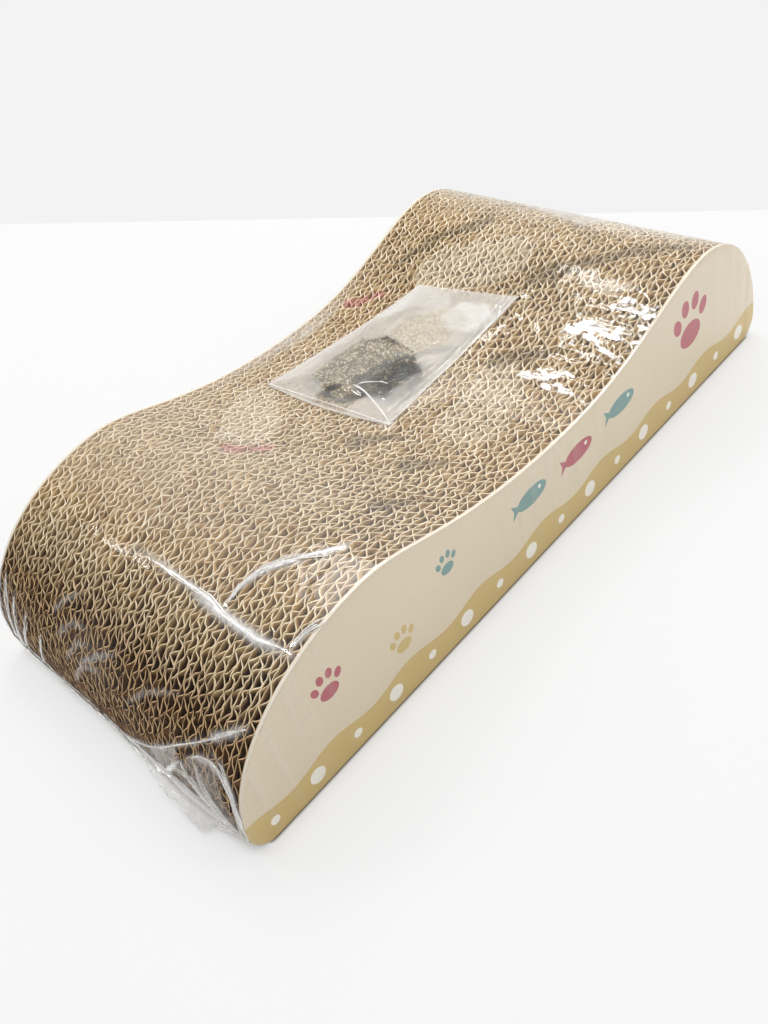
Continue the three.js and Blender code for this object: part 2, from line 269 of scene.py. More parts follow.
def board_blank():
    """One paper layer of a board: a flat upright sheet of the wave, finely divided along its length. It
    knows where it is cut, how level the cut runs there, how much painted shade it takes down in the flutes
    and on the steep ends, and its flutes' run."""
    top = evenly(wave, COLUMN_STEP)
    tuck = np.vstack([front_tuck, rear_tuck])
    tuck = tuck[np.argsort(tuck[:, 0])]
    bottom = np.interp(top[:, 0], tuck[:, 0], tuck[:, 1])
    lower = top[:, 1] - np.minimum(CRUSH_DEPTH, (top[:, 1] - bottom) / 2)
    step_x, step_z = np.gradient(top[:, 0]), np.gradient(top[:, 1])
    level = step_x / np.hypot(step_x, step_z)
    flute_run = np.cumsum(step_x * (1 + END_CROWDING * (np.minimum(1 / level, 4) - 1)))
    rows = [bottom, lower, top[:, 1]]
    verts = [
        ((x + FRONT_X) * MM, 0.0, (z + BASE_Z) * MM)
        for heights in rows for x, z in zip(top[:, 0], heights)
    ]
    count = len(top)
    mesh = bpy.data.meshes.new("board_blank")
    mesh.from_pydata(verts, [], quads(len(rows), count, turned=True))
    mark(mesh, "near_cut", np.repeat([0.0, 0.0, 1.0], count))
    mark(mesh, "level", np.tile(level, 3))
    # Painted shade: the paper is drawn darker down in the flutes and on the steep ends, its cut edges too.
    painted_light_below = np.interp(level, [0.3, 0.8, 1.0], [-2.1, -0.5, 0.30])
    painted_light_at_cut = np.interp(level, [0.7, 1.0], [0.05, 1.0])
    mark(mesh, "painted_light_share", np.concatenate([np.full(count, -2.0), painted_light_below, painted_light_at_cut]))
    mark(mesh, "flute_run", np.tile(flute_run * MM, 3))
    return mesh


def add_sockets(tree, inputs):
    """Names a geometry tree's sockets, with their defaults, and gives its input and output nodes."""
    tree.interface.new_socket("Geometry", in_out="INPUT", socket_type="NodeSocketGeometry")
    tree.interface.new_socket("Geometry", in_out="OUTPUT", socket_type="NodeSocketGeometry")
    for name, value in inputs.items():
        kind = "NodeSocketMaterial" if isinstance(value, bpy.types.Material) else "NodeSocketFloat"
        tree.interface.new_socket(name, in_out="INPUT", socket_type=kind).default_value = value
    return tree.nodes.new("NodeGroupInput").outputs, tree.nodes.new("NodeGroupOutput").inputs


def grown(start, tree, values):
    """The plain mesh that a geometry tree makes of a mesh, with some of its named inputs set."""
    holder = bpy.data.objects.new("holder", start)
    scene.collection.objects.link(holder)
    modifier = holder.modifiers.new(tree.name, "NODES")
    modifier.node_group = tree
    for item in tree.interface.items_tree:
        if item.in_out == "INPUT" and item.name in values:
            modifier[item.identifier] = values[item.name]
    mesh = bpy.data.meshes.new_from_object(holder.evaluated_get(bpy.context.evaluated_depsgraph_get()))
    bpy.data.objects.remove(holder)
    return mesh


def paper_layer_tree():
    """A flat sheet becomes a liner or, where it has a flute height, a fluted layer, with its thickness."""
    tree = bpy.data.node_groups.new("paper_layer", "GeometryNodeTree")
    given, result = add_sockets(tree, {
        "Across": 0.0, "Flute Height": 4.0 * MM, "Flute Pitch": 9.0 * MM, "Phase": 0.0,
        "Paper": 0.4 * MM, "Ripple": 0.15 * MM, "Crush": 0.5 * MM, "Seed": 0.0,
    })
    place = put(tree, "GeometryNodeInputPosition")
    drift, lean, ripple, crushed = (
        put(tree, "ShaderNodeTexNoise", {
            "W": given["Seed"], "Vector": place, "Scale": scale, "Detail": detail}, noise_dimensions="4D")
        for scale, detail in ((32.0, 1.0), (105.0, 1.0), (150.0, 1.0), (260.0, 2.0))
    )
    run = put(tree, "GeometryNodeInputNamedAttribute", {0: "flute_run"}, data_type="FLOAT")
    turns = put(tree, "ShaderNodeMath", {0: run, 1: given["Flute Pitch"]}, operation="DIVIDE")
    drift = put(tree, "ShaderNodeMath", {0: drift, 1: 1.5, 2: given["Phase"]}, operation="MULTIPLY_ADD")
    turns = put(tree, "ShaderNodeMath", {0: turns, 1: drift}, operation="ADD")
    turns = put(tree, "ShaderNodeMath", {0: lean, 1: 0.75, 2: turns}, operation="MULTIPLY_ADD")
    zigzag = put(tree, "ShaderNodeMath", {0: turns, 1: 0.5}, operation="PINGPONG")
    flute = put(tree, "ShaderNodeMapRange", {0: zigzag, 1: 0.02, 2: 0.48, 3: 0.0, 4: given["Flute Height"]},
                interpolation_type="SMOOTHSTEP")
    ripple = put(tree, "ShaderNodeMath", {0: ripple, 1: 0.5}, operation="SUBTRACT")
    bent = put(tree, "ShaderNodeMath", {0: ripple, 1: given["Ripple"], 2: flute}, operation="MULTIPLY_ADD")
    near_cut = put(tree, "GeometryNodeInputNamedAttribute", {0: "near_cut"}, data_type="FLOAT")
    crushed = put(tree, "ShaderNodeVectorMath", {0: crushed.outputs["Color"], 1: (0.5, 0.5, 0.5)},
                  operation="SUBTRACT")
    crush = put(tree, "ShaderNodeMath", {0: given["Crush"], 1: near_cut}, operation="MULTIPLY")
    crushed = put(tree, "ShaderNodeVectorMath", {0: crushed, "Scale": crush}, operation="SCALE")
    across = put(tree, "ShaderNodeMath", {0: bent, 1: given["Across"]}, operation="ADD")
    offset = put(tree, "ShaderNodeCombineXYZ", {1: across})
    offset = put(tree, "ShaderNodeVectorMath", {0: offset, 1: crushed}, operation="ADD")
    sheet = put(tree, "GeometryNodeSetPosition", {"Geometry": given["Geometry"], "Offset": offset})
    thick = put(tree, "GeometryNodeExtrudeMesh", {"Mesh": sheet, "Offset Scale": given["Paper"],
                                                  "Individual": False}, mode="FACES")
    marked = put(tree, "GeometryNodeStoreNamedAttribute", {
        "Geometry": thick.outputs["Mesh"], "Name": "is_cut", "Value": thick.outputs["Side"]},
        data_type="BOOLEAN", domain="FACE")
    other_side = put(tree, "GeometryNodeFlipFaces", {0: sheet})
    closed = put(tree, "GeometryNodeJoinGeometry")
    tree.links.new(marked.outputs[0], closed.inputs[0])
    tree.links.new(other_side.outputs[0], closed.inputs[0])
    closed = put(tree, "GeometryNodeMergeByDistance", {"Geometry": closed, "Distance": 1e-6})
    tree.links.new(closed.outputs[0], result["Geometry"])
    return tree


def board_tree(layer, wall, cut):
    """A double-wall board from five copies of its blank: liner, tall flutes, liner, low flutes, liner. Near
    the cut the die has pushed the layers about, most where the cut is level."""
    tree = bpy.data.node_groups.new("double_wall_board", "GeometryNodeTree")
    given, result = add_sockets(tree, {
        "Right Face": 0.0, "Thickness": 8.0 * MM, "Tall Phase": 0.0, "Low Phase": 0.0,
        "Tall Pitch": TALL_PITCH * MM, "Low Pitch": LOW_PITCH * MM, "Seed": 0.0, "Wall": wall, "Cut": cut,
    })
    room = put(tree, "ShaderNodeMath", {0: given["Thickness"], 1: (2 * OUTER_LINER + INNER_LINER) * MM},
               operation="SUBTRACT")
    tall = put(tree, "ShaderNodeMath", {0: room, 1: TALL_SHARE}, operation="MULTIPLY")
    low = put(tree, "ShaderNodeMath", {0: room, 1: 1 - TALL_SHARE}, operation="MULTIPLY")
    stack = put(tree, "GeometryNodeJoinGeometry")
    edge = given["Right Face"]
    layers = [
        (OUTER_LINER, None, 0.05), (MEDIUM, tall, "Tall"), (INNER_LINER, None, 0.3), (MEDIUM, low, "Low"),
        (OUTER_LINER, None, 0.05),
    ]
    for number, (paper, height, kind) in enumerate(layers):
        seed = put(tree, "ShaderNodeMath", {0: given["Seed"], 1: 3.7 * number}, operation="ADD")
        inner = {"Geometry": given["Geometry"], "Across": edge, "Seed": seed, "Paper": paper * MM}
        if height is None:
            inner |= {"Flute Height": 0.0, "Ripple": kind * MM, "Crush": 0.1 * MM}
        else:
            depth = put(tree, "ShaderNodeMath", {0: height, 1: paper * MM}, operation="SUBTRACT")
            inner |= {
                "Flute Height": depth, "Flute Pitch": given[f"{kind} Pitch"], "Phase": given[f"{kind} Phase"],
            }
        group = put(tree, "GeometryNodeGroup", inner, node_tree=layer)
        tree.links.new(group.outputs[0], stack.inputs[0])
        edge = put(tree, "ShaderNodeMath", {0: edge, 1: paper * MM if height is None else height},
                   operation="ADD")
    place = put(tree, "GeometryNodeInputPosition")
    y = put(tree, "ShaderNodeSeparateXYZ", {0: place}).outputs[1]
    from_middle = put(tree, "ShaderNodeMath", {0: y}, operation="ABSOLUTE")
    free = put(tree, "ShaderNodeMapRange", {
        0: from_middle, 1: HELD_BY_COVERS[0] * MM, 2: HELD_BY_COVERS[1] * MM, 3: 1.0, 4: 0.0})
    near_cut = put(tree, "GeometryNodeInputNamedAttribute", {0: "near_cut"}, data_type="FLOAT")
    level = put(tree, "GeometryNodeInputNamedAttribute", {0: "level"}, data_type="FLOAT")
    push = (0.0, 0.0, 0.0)
    for fineness, reach in PUSHES:
        part = put(tree, "ShaderNodeTexNoise", {"Vector": place, "Scale": fineness, "Detail": 1.0})
        part = put(tree, "ShaderNodeVectorMath", {0: part.outputs["Color"], 1: (0.5, 0.5, 1.0)},
                   operation="SUBTRACT")
        part = put(tree, "ShaderNodeVectorMath", {0: part, 1: (reach * MM, reach * MM, 0.3 * MM)},
                   operation="MULTIPLY")
        push = put(tree, "ShaderNodeVectorMath", {0: push, 1: part}, operation="ADD")
    along = put(tree, "ShaderNodeCombineXYZ", {0: level, 1: 1.0, 2: level})
    push = put(tree, "ShaderNodeVectorMath", {0: push, 1: along}, operation="MULTIPLY")
    amount = put(tree, "ShaderNodeMath", {0: near_cut, 1: free}, operation="MULTIPLY")
    push = put(tree, "ShaderNodeVectorMath", {0: push, "Scale": amount}, operation="SCALE")
    crushed = put(tree, "GeometryNodeSetPosition", {"Geometry": stack, "Offset": push})
    real = put(tree, "GeometryNodeRealizeInstances", {0: crushed})
    walls = put(tree, "GeometryNodeSetMaterial", {"Geometry": real, "Material": given["Wall"]})
    is_cut = put(tree, "GeometryNodeInputNamedAttribute", {0: "is_cut"}, data_type="BOOLEAN")
    cuts = put(tree, "GeometryNodeSetMaterial", {"Geometry": walls, "Selection": is_cut,
                                                 "Material": given["Cut"]})
    tree.links.new(cuts.outputs[0], result["Geometry"])
    return tree


TOP_INKS = {  # colour, and how much of the paper it covers
    "grey": ("#8A7658", 0.5), "pink": ("#E5A09E", 0.75), "cream": ("#FBF0DA", 0.62),
}
INK_REACH = 9.0  # about how deep the ink reaches down into the flutes
TOP_PRINT = [  # ink, line as (distance from the front end, y), half widths at its two ends
    ("cream", [(150, 40), (176, 66)], 17, 13),
    ("cream", [(222, -56), (258, -46)], 19, 15),
    ("cream", [(318, 40), (340, 8)], 21, 17),
    ("cream", [(386, -30), (398, -70)], 11, 15),
    ("grey", [(176, -16), (196, -34)], 6.5, 1.0),
    ("grey", [(176, -52), (190, -72)], 5.5, 1.0),
    ("grey", [(272, -36), (290, -66)], 6.5, 1.5),
    ("grey", [(330, -20), (362, -64), (378, -92)], 6.0, 3.0),
    ("grey", [(140, -66), (158, -82)], 5.0, 2.0),
    ("grey", [(312, 78), (338, 66), (362, 40)], 2.0, 4.5),
    ("pink", [(276, 90), (290, 72)], 3.4, 2.6),
    ("pink", [(128, 30), (143, 16)], 3.0, 2.4),
]


def line_distance(x, y, line):
    """Distance to a line of points, and the share of its length at which the nearest point lies."""
    nearest = np.full(np.shape(x), 1e9)
    share = np.zeros(np.shape(x))
    runs = [math.dist(a, b) for a, b in zip(line, line[1:])]
    done = 0.0
    for (ax, ay), (bx, by), run in zip(line, line[1:], runs):
        t = np.clip(((x - ax) * (bx - ax) + (y - ay) * (by - ay)) / run ** 2, 0, 1)
        distance = np.hypot(x - ax - t * (bx - ax), y - ay - t * (by - ay))
        share = np.where(distance < nearest, (done + t * run) / sum(runs), share)
        nearest = np.minimum(nearest, distance)
        done += run
    return nearest, share


def print_boards(mesh):
    """Marks where the plain picture of blots and strokes is printed on the top, as red, green and blue."""
    x, y, z = points_of(mesh).T
    x = x - FRONT_X
    under_cut = wave_height(x) + BASE_Z - z
    ink = np.zeros((len(x), 4))
    for colour, line, half_start, half_end in TOP_PRINT:
        distance, share = line_distance(x + 1.2 * np.sin(y / 3.1), y + 1.2 * np.sin(x / 4.3), line)
        half = half_start + share * (half_end - half_start)
        channel = list(TOP_INKS).index(colour)
        ink[:, channel] = np.maximum(ink[:, channel], np.clip((half - distance) / 1.5 + 0.5, 0, 1))
    ink *= np.clip(1.4 - under_cut / INK_REACH, 0, 1)[:, None]
    ink[:, 3] = 1
    mesh.attributes.new("top_print", "FLOAT_COLOR", "POINT").data.foreach_set("color", ink.ravel())


def kraft_material(name, dark, light, shaded):
    """Brown kraft paper: long brown wood fibres, dull, with paler and darker flecks and thin faded print.
    Shade is painted into it: pale near the cut, dark further down in the flutes and on the steep ends."""
    material, tree = new_material(name)
    place = put(tree, "ShaderNodeTexCoord").outputs["Object"]
    cloud = put(tree, "ShaderNodeTexNoise", {"Vector": place, "Scale": 60.0, "Detail": 4.0})
    fibre = put(tree, "ShaderNodeTexNoise", {"Vector": place, "Scale": 1800.0, "Detail": 3.0})
    both = put(tree, "ShaderNodeMix", {0: 0.5, 2: cloud, 3: fibre}, data_type="FLOAT")
    shade = put(tree, "ShaderNodeMapRange", {0: both, 1: 0.35, 2: 0.65})
    colour = put(tree, "ShaderNodeMix", {0: shade, 6: linear(dark), 7: linear(light)}, data_type="RGBA")
    # Painted shade: the paper turns to its shaded colour down in the flutes and on the steep ends.
    painted_light_share = put(tree, "ShaderNodeAttribute", attribute_name="painted_light_share")
    painted_light_share = put(tree, "ShaderNodeMapRange", {0: painted_light_share.outputs["Fac"], 1: -0.1, 2: 0.8})
    colour = put(tree, "ShaderNodeMix", {0: painted_light_share, 6: linear(shaded), 7: colour.outputs[2]},
                 data_type="RGBA")
    ink = put(tree, "ShaderNodeAttribute", attribute_name="top_print")
    ink = put(tree, "ShaderNodeSeparateColor", {0: ink.outputs["Color"]})
    for kind in ("cream", "grey", "pink"):
        hue, strength = TOP_INKS[kind]
        share = ink.outputs[list(TOP_INKS).index(kind)]
        amount = put(tree, "ShaderNodeMath", {0: share, 1: strength}, operation="MULTIPLY")
        colour = put(tree, "ShaderNodeMix", {0: amount, 6: colour.outputs[2], 7: linear(hue)},
                     data_type="RGBA")
    paper = put(tree, "ShaderNodeBsdfPrincipled", {"Base Color": colour.outputs[2], "Roughness": 0.85})
    paper.inputs["Specular IOR Level"].default_value = 0.2
    put(tree, "ShaderNodeOutputMaterial", {0: paper})
    return material


def add_piece(name, mesh, slot, *nodes):
    """Puts a finished mesh in the scene as a piece of the scratcher, in place of some of the CAD's nodes."""
    piece = bpy.data.objects.new(name, mesh)
    scene.collection.objects.link(piece)
    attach(piece, "root")
    if nodes:
        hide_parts(*nodes)


# The third colour of each is painted shade, for deep in the flutes and the steep ends.
kraft_wall = kraft_material("kraft_wall", "#D1AE74", "#EDD19E", "#5E3D1C")
kraft_cut = kraft_material("kraft_cut_edge", "#E6D4AE", "#F7EBD2", "#C79E68")
whole_board_tree = board_tree(paper_layer_tree(), kraft_wall, kraft_cut)
blank = board_blank()
board_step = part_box("board_02")[0].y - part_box("board_01")[0].y
for number in range(1, BOARD_COUNT + 1):
    node_name = f"board_{number:02d}"
    mesh = grown(blank, whole_board_tree, {
        "Right Face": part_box(node_name)[0].y,
        "Thickness": board_step,
        "Tall Phase": (TALL_LAG * number) % 1,
        "Low Phase": (LOW_LAG * number + 0.2) % 1,
        "Seed": 11.3 * number,
    })
    print_boards(mesh)
    add_piece(f"corrugated_{node_name}", mesh, "corrugated_board", node_name)

# Printed side covers
# One die-cut sheet of coated white card on each side, glued to the outermost boards. It is printed on its
# outer face in flat inks; the white core of the card shows along its cut edge.
INKS = {"cream": "#D9CBB2", "mustard": "#C8AE6E", "white": "#EFEBE2", "teal": "#6E9490", "red": "#AE4F5C"}
BAND_HEIGHT = 18.5
BAND_SWELL = 2.4
BAND_PERIOD = 53.0
BLEED = 6.0  # how far the band is drawn past the card
DOT_HEIGHT = 9.5
DOT_SIZES = (2.6, 4.6)


def ink_material(name, colour):
    """Offset ink on coated card: even and half glossy to the eye, over the faint mottle of the paper."""
    material, tree = new_material(name)
    place = put(tree, "ShaderNodeTexCoord").outputs["Object"]
    mottle = put(tree, "ShaderNodeTexNoise", {"Vector": place, "Scale": 900.0, "Detail": 3.0})
    cloud = put(tree, "ShaderNodeTexNoise", {"Vector": place, "Scale": 14.0, "Detail": 2.0})
    both = put(tree, "ShaderNodeMix", {0: 0.4, 2: mottle, 3: cloud}, data_type="FLOAT")
    shade = put(tree, "ShaderNodeMapRange", {0: both, 1: 0.3, 2: 0.7, 3: 0.94, 4: 1.04})
    toned = put(tree, "ShaderNodeVectorMath", {0: linear(colour)[:3], "Scale": shade}, operation="SCALE")
    bump = put(tree, "ShaderNodeBump", {"Height": mottle, "Strength": 0.1, "Distance": 0.05 * MM})
    card = put(tree, "ShaderNodeBsdfPrincipled", {"Base Color": toned, "Roughness": 0.45, "Normal": bump})
    put(tree, "ShaderNodeOutputMaterial", {0: card})
    return material


def ring(centre_x, centre_z, run_x, run_z, turn=0.0, count=28):
    """A closed oval, turned by an angle in degrees."""
    angles = np.linspace(0, 2 * math.pi, count, endpoint=False)
    flat = np.c_[run_x * np.cos(angles), run_z * np.sin(angles)]
    c, s = math.cos(math.radians(turn)), math.sin(math.radians(turn))
    return flat @ np.array([[c, s], [-s, c]]) + (centre_x, centre_z)


def fish(x, z, size, ink):
    """A plain fish: an oval body, a forked tail and a white eye."""
    tail = np.array([(-0.75, 0.0), (-1.35, 0.42), (-1.2, 0.0), (-1.35, -0.42)])
    return [
        (ink, ring(x, z, size, 0.46 * size)),
        (ink, tail * size + (x, z)),
        ("white", ring(x + 0.55 * size, z + 0.1 * size, 0.1 * size, 0.1 * size, count=12)),
    ]


def paw(x, z, size, ink):
    """A plain paw print: one pad and four toes."""
    toes = [(-0.78, 0.42, 22), (-0.3, 0.86, 8), (0.3, 0.86, -8), (0.78, 0.42, -22)]
    return [(ink, ring(x, z - 0.25 * size, 0.62 * size, 0.46 * size))] + [
        (ink, ring(x + dx * size, z + dz * size, 0.22 * size, 0.32 * size, turn)) for dx, dz, turn in toes
    ]


def cover_motifs():
    """The printed motifs as (ink, outline), later ones over earlier ones."""
    along = np.arange(-BLEED, LENGTH + BLEED + 1.0, 3.0)
    crest = BAND_HEIGHT + BAND_SWELL * np.cos(2 * math.pi * along / BAND_PERIOD)
    foot = [(-BLEED, -BLEED), (LENGTH + BLEED, -BLEED)]
    motifs = [("mustard", np.vstack([foot, np.c_[along, crest][::-1]]))]
    for number, x in enumerate(np.arange(14.0, LENGTH, BAND_PERIOD / 2)):
        size = DOT_SIZES[number % 2]
        motifs.append(("white", ring(x, DOT_HEIGHT, size, size)))
    motifs += fish(206, 43, 12, "teal") + fish(246, 41, 12, "red") + fish(286, 44, 12, "teal")
    motifs += paw(356, 48, 17, "red") + paw(62, 50, 9, "red") + paw(106, 34, 8, "mustard")
    motifs += paw(142, 52, 7, "teal")
    return motifs


def side_cover(name, outer_y, inner_y, inks, core):
    """The mesh of a card plate whose outer face is divided along the outlines of its print."""
    outline = np.vstack([front_tuck, evenly(wave, 2.0)[1:-1], rear_tuck])[::-1]
    motifs = cover_motifs()
    points, loops = [], []
    for shape in [outline] + [shape for ink, shape in motifs]:
        loops.append(list(range(len(points), len(points) + len(shape))))
        points += [Vector(point) for point in shape]
    divided = geometry.delaunay_2d_cdt(points, [], loops, 1, 1e-4)
    flat, faces, face_ids = divided[0], divided[2], divided[5]
    material_index = {ink: number for number, ink in enumerate(INKS)}
    bm = bmesh.new()
    outer = [bm.verts.new(((v.x + FRONT_X) * MM, outer_y, (v.y + BASE_Z) * MM)) for v in flat]
    inner = [bm.verts.new(((v.x + FRONT_X) * MM, inner_y, (v.y + BASE_Z) * MM)) for v in flat]
    for corners, inside in zip(faces, face_ids):
        if 0 not in inside:
            continue
        printed = [motifs[number - 1][0] for number in sorted(inside) if number > 0]
        front = bm.faces.new([outer[i] for i in corners])
        front.material_index = material_index[printed[-1] if printed else "cream"]
        rear = bm.faces.new([inner[i] for i in reversed(corners)])
        rear.material_index = len(INKS)
    for edge in [e for e in bm.edges if e.is_boundary and e.verts[0].co.y == outer[0].co.y]:
        a, b = (outer.index(v) for v in edge.verts)
        rim = bm.faces.new([outer[a], outer[b], inner[b], inner[a]])
        rim.material_index = len(INKS)
    bmesh.ops.delete(bm, geom=[v for v in bm.verts if not v.link_faces], context="VERTS")
    bmesh.ops.recalc_face_normals(bm, faces=bm.faces)
    mesh = bpy.data.meshes.new(name)
    bm.to_mesh(mesh)
    bm.free()
    for material in inks + [core]:
        mesh.materials.append(material)
    return mesh


inks = [ink_material(f"card_printed_{ink}", colour) for ink, colour in INKS.items()]
card_core = kraft_material("card_core", "#E3D9C6", "#F1EADC", "#EAE2D2")
for side in ("right", "left"):
    low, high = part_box(f"cover_{side}")
    outer_y, inner_y = (low.y, high.y) if side == "right" else (high.y, low.y)
    mesh = side_cover(f"printed_cover_{side}", outer_y, inner_y, inks, card_core)
    add_piece(f"printed_cover_{side}", mesh, "printed_cover", f"cover_{side}")

# Catnip
# A loose handful of dried catnip in the front half of the bag: broken leaves and stalks in a lumpy heap, and
# fine pale dust that has slid to the rear of it. Heights are over the bag's floor, places from the front end.
HEAP_PILES = [  # outline, height, and the run in which it rises
    ([(196, 30), (197, 20), (204, 14), (240, -2), (254, 14), (258, 36), (250, 51), (230, 54), (204, 53)],
     4.4, 5.0),
    ([(210, 15), (212, -6), (219, -11), (236, -10), (247, 3), (239, 15), (224, 20)], 4.0, 4.0),
    ([(246, 46), (244, 0), (268, -7), (296, -9), (299, 20), (280, 44)], 1.7, 9.0),
]
HEAP_VALLEY = [(213, 22), (227, 21), (239, 17), (255, 8), (267, -5)]
HEAP_SHADES = [  # line, half width, how much darker; the first is painted shade along the valley between the piles
    (HEAP_VALLEY, 2.0, 0.40),
    ([(232, 4), (244, 0)], 5.0, 0.25),
    ([(196, 31), (206, 27)], 2.2, 0.50),
    ([(197, 16), (209, 11)], 2.6, 0.55),
    ([(212, -8), (232, -12), (246, -3)], 2.5, -0.30),
    ([(246, 50), (258, 44), (256, 30)], 2.5, 0.25),
]
HEAP_X, HEAP_Y = (199.0, 302.0), (-14.0, 58.0)  # within which it lies
HEAP_STEP = 0.9  # between the points of its surface
HEAP_LIFT = 0.12  # of its top, which gives it a thickness at its rim too
HEAP_SOLE = 0.06  # of its underside over the bag's floor
BAG_FLOOR = 0.35  # over the cut edges
CRUMB_SIZE = 1.0  # across each patch of one shade
FLAKE_POINTS = [(-0.9, 0, 0), (-0.2, -0.4, 0.12), (0.9, 0, 0.05), (-0.1, 0.42, 0.1), (0, 0, 0.3)]
FLAKE_FACES = [(0, 1, 4), (1, 2, 4), (2, 3, 4), (3, 0, 4), (1, 0, 3, 2)]
FLAKE_SIZES = (0.25, 0.7)  # smallest and largest share of that
FLAKES_PER_SQUARE_METRE = 7e5


def depth_in_convex(x, y, corners):
    """How far points lie inside a convex outline given counterclockwise, negative outside it."""
    depth = np.full(np.shape(x), 1e9)
    for (ax, ay), (bx, by) in zip(corners, corners[1:] + corners[:1]):
        across = ((bx - ax) * (y - ay) - (by - ay) * (x - ax)) / math.hypot(bx - ax, by - ay)
        depth = np.minimum(depth, across)
    return depth


def rough(x, y, scale, seed):
    """Smooth noise of about -1 to 1 over a plane, its lumps about as large as the scale in millimetres."""
    x, y = np.broadcast_arrays(x, y)
    flat = np.c_[x.ravel(), y.ravel()] / scale
    values = [noise.noise(Vector((a, b, seed))) for a, b in flat]
    return np.reshape(values, x.shape)


def heap_height(x, y):
    """Height of the catnip over the floor of the bag."""
    height = np.zeros(np.shape(x))
    for number, (corners, top, rise) in enumerate(HEAP_PILES):
        depth = depth_in_convex(x, y, corners) + 1.2 * rough(x, y, 5.0, 3.0 + number)
        slope_share = np.clip(depth / rise, 0, 1)
        height = np.maximum(height, top * slope_share * (2 - slope_share))
    valley = line_distance(x, y, HEAP_VALLEY)[0]
    height = height - 1.6 * np.exp(-(valley / 2.6) ** 2) * (height > 1)
    lumps = 0.5 * rough(x, y, 7.0, 1.0) + 0.22 * rough(x, y, 2.2, 2.0)
    return np.where(height > 0.05, np.maximum(height + lumps * np.clip(height / 2, 0, 1), 0.1), 0.0)


def heap_tone(x, y):
    """How dark the catnip is: pale dust behind, grey leaf in the left pile, near black in the right one, and
    painted shade along the valley between the piles.
    """
    tone = 0.20 + 0.10 * rough(x, y, 6.0, 11.0)
    for number, dark in ((0, 0.50), (1, 0.86)):
        depth = depth_in_convex(x, y, HEAP_PILES[number][0])
        tone = np.where(depth > -1.0, dark + 0.22 * rough(x, y, 6.5, 12.0 + number), tone)
    for line, width, amount in HEAP_SHADES:
        distance = line_distance(x, y, line)[0] + 0.8 * rough(x, y, 3.0, 15.0)
        tone = tone + amount * np.clip(1.5 - distance / width, 0, 1)
    return np.clip(tone + 0.10 * rough(x, y, 0.9, 16.0), 0, 1)


def catnip_material(name):
    """Dried catnip: dull crumbs of leaf and stalk, which the eye sees from pale dust to near black, each in a
    shade of its own."""
    material, tree = new_material(name)
    place = put(tree, "ShaderNodeTexCoord").outputs["Object"]
    tone = put(tree, "ShaderNodeAttribute", attribute_name="tone")
    crumbs = put(tree, "ShaderNodeTexVoronoi", {"Vector": place, "Scale": 1 / (CRUMB_SIZE * MM)})
    crumb = put(tree, "ShaderNodeSeparateColor", {0: crumbs.outputs["Color"]})
    lighter = put(tree, "ShaderNodeMapRange", {0: crumb, 1: 0.5, 3: 0.09, 4: -0.42})
    shade = put(tree, "ShaderNodeMath", {0: tone.outputs["Fac"], 1: lighter}, operation="ADD",
                use_clamp=True)
    ramp = put(tree, "ShaderNodeValToRGB", {0: shade})
    stops = ramp.color_ramp.elements
    stops[0].color = linear("#DCD2BF")
    stops[1].color = linear("#15181C")
    for place_on_ramp, hue in ((0.25, "#BFB298"), (0.5, "#80745A"), (0.75, "#463C2C")):
        stops.new(place_on_ramp).color = linear(hue)
    bump = put(tree, "ShaderNodeBump", {"Height": crumbs.outputs["Distance"], "Strength": 0.8,
                                        "Distance": 0.5 * MM})
    herb = put(tree, "ShaderNodeBsdfPrincipled", {"Base Color": ramp, "Roughness": 0.9, "Normal": bump})
    herb.inputs["Specular IOR Level"].default_value = 0.15
    put(tree, "ShaderNodeOutputMaterial", {0: herb})
    return material


def flake_tree(flake, leaf):
    """Scatters small leaf flakes over a heap, lying at any angle."""
    tree = bpy.data.node_groups.new("catnip_flakes", "GeometryNodeTree")
    given, result = add_sockets(tree, {"Density": FLAKES_PER_SQUARE_METRE, "Leaf": leaf})
    points = put(tree, "GeometryNodeDistributePointsOnFaces", {
        "Mesh": given["Geometry"], "Density": given["Density"], "Seed": 4})
    shape = put(tree, "GeometryNodeObjectInfo", {0: flake})
    turn = put(tree, "FunctionNodeRandomValue", {"Min": (-0.5, -0.5, 0.0), "Max": (0.5, 0.5, 6.3), "Seed": 5},
               data_type="FLOAT_VECTOR")
    size = put(tree, "FunctionNodeRandomValue", {2: FLAKE_SIZES[0], 3: FLAKE_SIZES[1], "Seed": 6},
               data_type="FLOAT")
    spread = put(tree, "GeometryNodeInstanceOnPoints", {
        "Points": points, "Instance": shape.outputs["Geometry"], "Rotation": turn, "Scale": size.outputs[1]})
    real = put(tree, "GeometryNodeRealizeInstances", {0: spread})
    done = put(tree, "GeometryNodeSetMaterial", {"Geometry": real, "Material": given["Leaf"]})
    tree.links.new(done.outputs[0], result["Geometry"])
    return tree


heap_x, heap_y = np.meshgrid(np.arange(*HEAP_X, HEAP_STEP), np.arange(*HEAP_Y, HEAP_STEP), indexing="ij")
heap_z = heap_height(heap_x, heap_y)
floor_z = wave_height(heap_x) + BASE_Z + BAG_FLOOR
bm = bmesh.new()
upper, lower = {}, {}
for i, j in np.ndindex(heap_z.shape):
    if heap_z[max(i - 1, 0):i + 2, max(j - 1, 0):j + 2].max() > 0:
        x, y, z = heap_x[i, j] + FRONT_X, heap_y[i, j], floor_z[i, j]
        upper[i, j] = bm.verts.new((x * MM, y * MM, (z + heap_z[i, j] + HEAP_LIFT) * MM))
        lower[i, j] = bm.verts.new((x * MM, y * MM, (z + HEAP_SOLE) * MM))
for i, j in list(upper):
    around = [(i, j), (i + 1, j), (i + 1, j + 1), (i, j + 1)]
    if all(key in upper for key in around):
        bm.faces.new([upper[key] for key in around])
        bm.faces.new([lower[key] for key in reversed(around)])
below = {upper[key]: lower[key] for key in upper}
